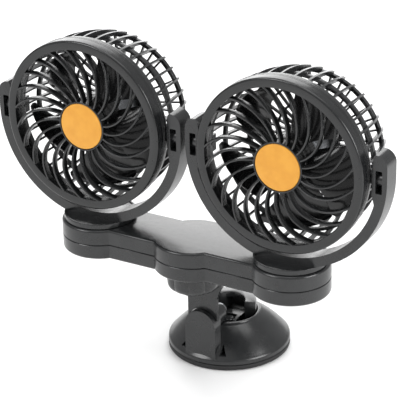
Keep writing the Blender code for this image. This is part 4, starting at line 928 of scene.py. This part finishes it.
def foot_section():
    """Section of the foot, counted round: skirt, cone, open rim, well, floor, hollow. The cone is a straight
    line raised by 0.9 mm and pushed out by half of that, both times 4 t (1 - t)."""
    cone_start, cone_end = np.array([0.0372, 0.0068]), np.array([0.0193, 0.0222])
    cone_crown = np.array([0.00045, 0.0009])
    share = np.linspace(0.0, 1.0, 15)[:, None]
    cone = cone_start + (cone_end - cone_start) * share + cone_crown * bulge(share)
    bevel, side_top, shoulder = 0.0004, 0.0055, (0.0378, 0.0062)
    skirt = np.array([(FOOT_RADIUS - bevel, FOOT_BOTTOM), (FOOT_RADIUS, FOOT_BOTTOM + bevel),
                      (FOOT_RADIUS, side_top), shoulder])
    rim_top, rim_out, rim_in = 0.0229, 0.0187, 0.0181
    well, stem_hole, hollow, hollow_low, hollow_high = 0.0178, 0.0036, 0.0200, 0.0070, 0.0178
    roof_end, skirt_inside, skirt_top = 0.0225, 0.0352, 0.0052
    rest = np.array([(rim_out + ROUND, rim_top - CRISP), (rim_out, rim_top), (rim_in, rim_top),
                     (rim_in - SOFT, rim_top - SOFT), (well, WELL_FLOOR), (stem_hole, WELL_FLOOR),
                     (stem_hole, hollow_low), (hollow, hollow_low), (hollow, hollow_high),
                     (roof_end, hollow_high), (skirt_inside, skirt_top), (skirt_inside, FOOT_BOTTOM)])
    return np.concatenate([skirt, cone, rest])


def ear_shape(half_width, bottom, front, back):
    """Upright ear of the hinge: straight sides and a half-round top."""
    outline = np.concatenate([np.array([(-half_width, bottom), (half_width, bottom)]),
                              arc((0.0, HINGE_Z), half_width, 0.0, math.pi, 48)])
    return prism(outline, front, back, "Y")


def foot_shape():
    """The turned foot: notch for the neck's barrel, cuts beside the front ear, two ears, collar, pin hole."""
    notch, bore = (0.0076, -0.0262, -0.0118), (HINGE_BORE, -0.0310, -0.0112)
    cut_inside, cut_outside, cut_bottom, cut_top = 0.0117, 0.0158, 0.0084, 0.0142
    cut_front, cut_back = -0.0400, -0.0255
    cuts = []
    for side in WAYS:
        outline = np.array([(side * cut_inside, cut_bottom), (side * cut_outside, cut_bottom),
                            (side * cut_inside, cut_top)])
        cuts.append(prism(outline, cut_front, cut_back, "Y"))
    shell = carved(ring(foot_section(), FOOT_STEPS), cuts)
    shell = carved(shell, [hinge_rod(*notch)])
    shell = joined(shell, ear_shape(half_width=0.0105, bottom=0.0040, front=-0.0361, back=-0.0292))
    shell = joined(shell, ear_shape(half_width=0.0050, bottom=0.0082, front=-0.0149, back=-0.0118))
    shell = joined(shell, collar_shape())
    return carved(shell, [hinge_rod(*bore, BORE_STEPS)])


def collar_shape():
    """Half-round wall at the back of the open top, 10.2 to 17.2 mm from the middle, its top 29.2 mm
    above the ground, with a doorway behind through which the lever swings."""
    inside, outside, bottom, top, top_edge = 0.0102, 0.0172, 0.0092, 0.0292, 0.0007
    start, end, middle = math.radians(12.0), math.radians(168.0), 0.0140
    door_low, door_high = (-0.0064, 0.0040, 0.0050), (0.0064, 0.0200, 0.0258)
    layers = [(ROUND, bottom), (0.0, bottom + ROUND), (0.0, top - top_edge), (CRISP, top - CRISP),
              (top_edge, top)]
    loops = []
    for inset, _ in layers:
        lean = inset / middle
        loops.append(np.concatenate([arc((0.0, 0.0), outside - inset, start + lean, end - lean, 64),
                                     arc((0.0, 0.0), inside + inset, end - lean, start + lean, 64)]))
    return carved(loft(loops, [height for _, height in layers]), [box(door_low, door_high)])


def cup_shape():
    """Pad: flat under, soft lip."""
    return puck(radius=FOOT_RADIUS, low=0.0, high=0.0030, edge=0.0009, steps=FOOT_STEPS)


def stem_shape():
    """The pad's plate and stem carried round Z, with the lever pin's bore across it."""
    plate, plate_top, root, root_top, stem, stem_start = 0.0100, 0.0052, 0.0035, 0.0056, 0.0030, 0.0062
    bevel_start, bevel_end, top = 0.0160, 0.0026, 0.0165
    section = [(AXIS_GAP, FOOT_BOTTOM), (plate, FOOT_BOTTOM), (plate, plate_top), (root, root_top),
               (stem, stem_start), (stem, bevel_start), (bevel_end, top), (AXIS_GAP, top)]
    return carved(dome(section, BARREL_STEPS), [lever_pin_bore()])


def lever_pin_bore():
    """The pin's hole, which runs along X."""
    return rod(LEVER_PIN_BORE, -LEVER_PIN_HALF, LEVER_PIN_HALF, PIN_STEPS, "X", (0.0, LEVER_Z))


def lever_shape():
    """Side outline: round hub, arm lying back, raised lip; pushed across and forked round the stem."""
    hub_radius, half_width, corner, tip_corner = 0.0035, 0.0058, 0.0010, 0.0006
    bend_back, tip_back, tip_low, tip_high, lip_back = 0.0085, 0.0158, 0.0005, 0.0044, 0.0125
    fork_low, fork_high = (-0.0034, -0.0158, 0.0), (0.0034, 0.0046, 0.0300)
    hub = arc((0.0, 0.0), hub_radius, QUARTER, math.pi * 1.5, 24)
    # the last two corners only steer the arcs beside them: the hub stands in their place
    arm = filleted([(bend_back, -hub_radius, corner), (tip_back, tip_low, tip_corner),
                    (tip_back, tip_high, tip_corner), (lip_back, hub_radius, corner),
                    (0.0, hub_radius, 0.0), (0.0, -hub_radius, 0.0)], 5)[:24]
    outline = np.concatenate([hub, arm]) + np.array([0.0, LEVER_Z])
    lever = carved(prism(outline, -half_width, half_width, "X"), [box(fork_low, fork_high)])
    return carved(lever, [lever_pin_bore()])


def build_foot():
    """Neck, foot, pad, stem and lever."""
    piece("neck_fine", neck_shape(), "neck", ["neck"], HOUSING, SOFT)
    piece("foot_fine", foot_shape(), "foot", ["base_shell"], HOUSING, CRISP, 40.0)
    piece("cup_fine", cup_shape(), "foot", ["suction_cup"], RUBBER)
    piece("stem_fine", stem_shape(), "foot", ["cup_stem"], HOUSING)
    piece("lever_fine", lever_shape(), "lever", ["release_lever"], HOUSING, SOFT)


def dress_kept_nodes():
    """Gives each CAD piece that stays the finish of what it is made of."""
    finishes = {"steel": STEEL, "black_satin": HOUSING, "white_nylon": NYLON, "cup_rubber": RUBBER}
    slots = {part["node"]: part["material_slot"] for part in frame["record"]["subparts"]}
    for name, node in frame["nodes"].items():
        if node.hide_render:
            continue
        node.data.materials.clear()
        node.data.materials.append(finishes[slots[name]])


# Stage: pale floor and white world, soft lamps, camera

WHITE = (1.0, 1.0, 1.0, 1.0)
AIM = Vector((0.0, -0.03, 0.11))


def plain_pale(name, lit):
    """A pale matt surface, on which the object's soft shadow shows."""
    made = bpy.data.materials.new(name)
    made.use_nodes = True
    shader = made.node_tree.nodes["Principled BSDF"]
    shader.inputs["Base Color"].default_value = (lit, lit, lit, 1.0)
    shader.inputs["Roughness"].default_value = 0.9
    return made


def build_stage():
    """Floor, world and four lamps."""
    span, floor_bottom, floor_top = 6.0, -0.02, -0.0005
    floor = as_object("floor", box((-span, -span, floor_bottom), (span, span, floor_top)))
    floor.data.materials.append(plain_pale("floor_white", 0.95))

    # the camera sees pure white, the object is lit by a dimmer white
    world = bpy.data.worlds.new("studio")
    bpy.context.scene.world = world
    world.use_nodes = True
    tree = world.node_tree
    sky = tree.nodes["Background"]
    sky.inputs["Color"].default_value = WHITE
    sky.inputs["Strength"].default_value = 0.55
    seen = add(tree, "ShaderNodeLightPath")
    white = add(tree, "ShaderNodeBackground", {"Color": WHITE, "Strength": 1.0})
    blend = add(tree, "ShaderNodeMixShader", {}, {0: seen.outputs["Is Camera Ray"], 1: sky.outputs[0],
                                                  2: white.outputs[0]})
    tree.links.new(blend.outputs[0], tree.nodes["World Output"].inputs["Surface"])

    lamp("key", place=(-0.9, -1.3, 1.5), size=0.9, power=16.0)
    lamp("right_strip", place=(1.3, -0.1, 0.7), size=0.7, power=12.0)
    lamp("top", place=(0.1, 0.2, 1.6), size=1.2, power=10.0)
    # a wide card behind the fan, mirrored by every upward face
    lamp("back_card", place=(-1.0, 1.7, 0.95), size=1.6, power=26.0)


def lamp(name, place, size, power):
    """A soft square lamp that faces the heads."""
    data = bpy.data.lights.new(name, "AREA")
    data.size = size
    data.energy = power
    made = bpy.data.objects.new(name, data)
    bpy.context.scene.collection.objects.link(made)
    made.location = place
    made.rotation_euler = (AIM - Vector(place)).to_track_quat("-Z", "Y").to_euler()


def build_camera():
    """The photograph's view: turned 30.63 degrees to the right, 24.73 degrees up, rolled -1.31 degrees."""
    azimuth, elevation, roll = math.radians(30.627), math.radians(24.730), math.radians(-1.313)
    place = Vector((0.5150, -0.9023, 0.5760))
    back = Vector((math.sin(azimuth) * math.cos(elevation), -math.cos(azimuth) * math.cos(elevation),
                   math.sin(elevation)))
    right = Vector((math.cos(azimuth), math.sin(azimuth), 0.0))
    up = back.cross(right)
    tilted_right = right * math.cos(roll) + up * math.sin(roll)
    tilted_up = up * math.cos(roll) - right * math.sin(roll)
    data = bpy.data.cameras.new("view")
    data.sensor_width = 36.0
    data.lens = 169.70
    data.clip_start = 0.05
    data.clip_end = 30.0
    made = bpy.data.objects.new("view", data)
    bpy.context.scene.collection.objects.link(made)
    turn = Matrix((tilted_right, tilted_up, back)).transposed().to_4x4()
    made.matrix_world = Matrix.Translation(place) @ turn
    bpy.context.scene.camera = made
    bpy.context.scene.view_settings.view_transform = "Standard"


build_heads()
build_yokes()
build_wing()
build_foot()
dress_kept_nodes()
build_stage()
build_camera()
